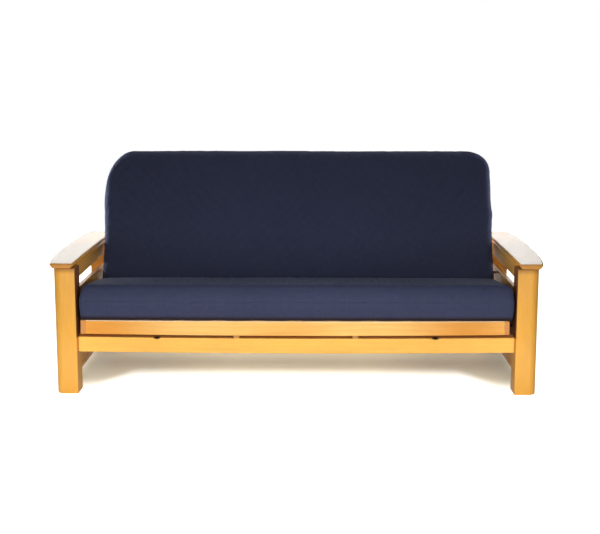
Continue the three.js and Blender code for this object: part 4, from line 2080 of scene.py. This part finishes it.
    def build_bag(self) -> tuple[np.ndarray, Grids]:
        """Builds the finished bag.

        Returns:
            The inner grid of points, and the plain grids it came from.
        """
        grids = self.sheets(self.fine)
        inner, outer = grids["inner"].copy(), grids["outer"].copy()
        moved = self.simulate()
        for sheet, points, sign in (("inner", inner, 1), ("outer", outer, -1)):
            wave = self.resampled(moved[sheet], moved["row"], grids["row"], 0)
            wave = self.resampled(wave, moved["run"], grids["run"], 1)
            points += self.surface_normals(points) * sign * wave[..., None]
        outer -= grids["normal"] * self.slat_sag_grid(grids)[..., None]
        inner += self.surface_normals(inner) * self.ripples(inner, grids["seam"])[..., None]
        self.sew_seam(inner, outer, grids)
        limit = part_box("post_front_right")[0].x - self.post_gap
        for points in (inner, outer):
            points[..., 0] = np.clip(points[..., 0], -limit, limit)
        for edge in (np.s_[0, :], np.s_[-1, :], np.s_[:, 0], np.s_[:, -1]):
            outer[edge] = inner[edge]
        piece = self.bag("sewn_cover", inner, outer)
        shade_smooth(piece)
        self.cut_map(piece, inner, outer)
        self.mark_wear(piece, grids)
        hand_over(piece, self.finishes.navy, ["futon_cover"])
        return inner, grids

    def mark_wear(self, piece: bpy.types.Object, grids: Grids) -> None:
        """Stores where the cover is rubbed by its seam, and painted contact shade along its lower front edge.

        Args:
            piece: the finished bag.
            grids: the grids of the plain bag.
        """
        worn = np.exp(-np.maximum(grids["seam"], 0) / self.worn_reach)
        store_numbers(piece, "seam", "POINT", np.concatenate([worn.ravel(), worn[1:-1, 1:-1].ravel()]))
        # Painted contact shade on the outer panel's lower front rounding, on the seat only.
        low = self.front_outer.share(grids["first"]) - self.soil_from
        soil = np.clip(low / self.soil_span, 0, 1) ** 1.5
        soil = np.where(grids["place"] < self.seat_run, soil, 0.0)
        store_numbers(piece, "soil", "POINT", np.concatenate([np.zeros(soil.size), soil[1:-1, 1:-1].ravel()]))

    # ---------- seam

    def sew_seam(self, inner: np.ndarray, outer: np.ndarray, grids: Grids) -> None:
        """Draws the seam in between the two panels, a little more in some places than others.

        Args:
            inner: grid of points of the inner panel, which is changed.
            outer: grid of points of the outer panel, which is changed.
            grids: the grids of the plain bag.
        """
        rows, runs = inner.shape[:2]
        centre = inner[rows // 2, runs // 2]
        for ring, depth in ((0, 1.0), (1, 0.45)):
            for i, j in self.ring_places(rows, runs, ring):
                pull = 0.75 + 0.5 * noise.noise(Vector(inner[i, j] * 9 + centre))
                pull = self.outward(grids, i, j) * self.seam_depth * depth * pull
                inner[i, j] -= pull
                if ring:
                    outer[i, j] -= pull

    @staticmethod
    def ring_places(rows: int, runs: int, ring: int) -> list[tuple[int, int]]:
        """Grid places of one ring round the panels, in order, starting at the front left.

        Args:
            rows: rows of the grid.
            runs: runs of the grid.
            ring: how many lines the ring lies inside the seam.

        Returns:
            Row and run of each place.
        """
        low, right, top = ring, rows - 1 - ring, runs - 1 - ring
        places = [(i, low) for i in range(low, right)]
        places += [(right, j) for j in range(low, top)]
        places += [(i, top) for i in range(right, low, -1)]
        places += [(low, j) for j in range(top, low, -1)]
        return places

    def outward(self, grids: Grids, i: int, j: int) -> np.ndarray:
        """Direction that points away from the mattress at its seam.

        Args:
            grids: the grids of the plain bag.
            i: row of the place.
            j: run of the place.

        Returns:
            The direction.
        """
        rows, runs = grids["place"].shape
        near = min(max(i, 4), rows - 5), min(max(j, 4), runs - 5)
        away = grids["inner"][i, j] - (grids["inner"][near] + grids["outer"][near]) / 2
        normal = grids["normal"][i, j]
        return unit(away - normal * (away @ normal))

    def build_welt(self, inner: np.ndarray, grids: Grids, sides: int = 6) -> None:
        """Runs the narrow turned edge of the seam all round the cover.

        Args:
            inner: grid of points of the inner panel.
            grids: the grids of the plain bag.
            sides: how many sides the welt has.
        """
        places = self.ring_places(*inner.shape[:2], 0)
        path = np.array([inner[i, j] + self.outward(grids, i, j) * self.welt_out for i, j in places])
        ahead = unit(np.roll(path, -1, axis=0) - np.roll(path, 1, axis=0))
        normal = np.array([grids["normal"][i, j] for i, j in places])
        normal = unit(normal - ahead * (normal * ahead).sum(axis=1, keepdims=True))
        out = np.cross(normal, ahead)
        points = []
        for angle in np.arange(sides) * math.tau / sides:
            ring = out * math.cos(angle) * self.welt_width + normal * math.sin(angle)
            points.append(path + self.welt_radius * ring)
        grid = np.arange(sides * len(path)).reshape(sides, len(path))
        after, along = np.roll(grid, -1, axis=0), np.roll(grid, -1, axis=1)
        across = np.roll(after, -1, axis=1)
        faces = np.stack([grid, along, across, after], axis=-1).reshape(-1, 4)
        piece = new_mesh("seam_welt", np.concatenate(points), faces)
        turn_outwards(piece)
        shade_smooth(piece)
        layer = piece.data.uv_layers.new(name="cut")
        run = np.cumsum(np.linalg.norm(path - np.roll(path, 1, axis=0), axis=1))
        corner = read_rows(piece.data.loops, "vertex_index", 1, np.int32)[:, 0]
        flat = np.stack([run[corner % len(path)], corner // len(path) * self.welt_radius], axis=1)
        layer.data.foreach_set("uv", flat.astype(np.float32).ravel())
        hand_over(piece, self.finishes.thread)

    def build_stitches(self, inner: np.ndarray) -> None:
        """Sews a row of stitches beside the seam, through the inner panel.

        Args:
            inner: grid of points of that panel.
        """
        places = self.ring_places(*inner.shape[:2], 2)
        lift = self.surface_normals(inner)
        path = np.array([inner[i, j] + lift[i, j] * self.stitch_lift for i, j in places])
        curve = bpy.data.curves.new("stitch_line", "CURVE")
        curve.dimensions = "3D"
        spline = curve.splines.new("POLY")
        spline.points.add(len(path) - 1)
        spline.points.foreach_set("co", np.hstack([path, np.ones((len(path), 1))]).ravel())
        spline.use_cyclic_u = True
        line = put("seam_stitches", curve)
        stitch_tree().use_on(line, {**self.STITCH, "Material": self.finishes.thread.material})
        piece = apply_modifiers(line)
        shade_smooth(piece)
        piece.data.uv_layers.new(name="cut")
        hand_over(piece, self.finishes.thread)

    def build(self) -> None:
        """Builds the cover, its seam and its stitches."""
        inner, grids = self.build_bag()
        self.build_welt(inner, grids)
        self.build_stitches(inner)


def stitch_tree() -> GeometryTree:
    """Short threads laid end to end along a curve, with a gap after each.

    Returns:
        The tree.
    """
    tree = GeometryTree("stitch_row", dict.fromkeys(("Pitch", "Length", "Thickness"), Socket.NUMBER))
    given = tree.given
    inputs = {"Curve": given["Geometry"], "Length": given["Pitch"]}
    line = tree.one("GeometryNodeResampleCurve", 0, inputs, mode="LENGTH")
    ahead = tree.one("GeometryNodeInputTangent", 0, {})
    turn = tree.one("FunctionNodeAlignRotationToVector", 0, {"Vector": ahead}, axis="X")
    inputs = {"Segments": 5, "Rings": 4, "Radius": 0.5}
    thread = tree.one("GeometryNodeMeshUVSphere", "Mesh", inputs)
    thickness = given["Thickness"]
    size = tree.one("ShaderNodeCombineXYZ", 0, {0: given["Length"], 1: thickness, 2: thickness})
    inputs = {"Points": line, "Instance": thread, "Rotation": turn, "Scale": size}
    tree.end_with(tree.one("GeometryNodeInstanceOnPoints", 0, inputs))
    return tree


# ------------------------------ assembly


def main() -> None:
    """Builds the studio and every piece of the sofa."""
    logging.basicConfig(level=logging.INFO, format="%(name)s: %(message)s")
    Studio().build()
    finishes = Finishes()
    cover = FutonCover(finishes)
    cover.build()
    for side in Side:
        Arm(side, finishes).build()
    LongRails(finishes).build()
    slats = slat_row_tree()
    loaded = Hang(5.2 * MM, 922 * MM, belly=0.7)
    Deck("seat", "front_rail", "rear_rail", -cover.seat_slope, finishes, slats, loaded).build()
    Deck("back", "bottom_rail", "top_rail", math.pi / 2 - cover.back_lean, finishes, slats).build()
    Hardware(finishes).build()


if __name__ == "__main__":
    main()
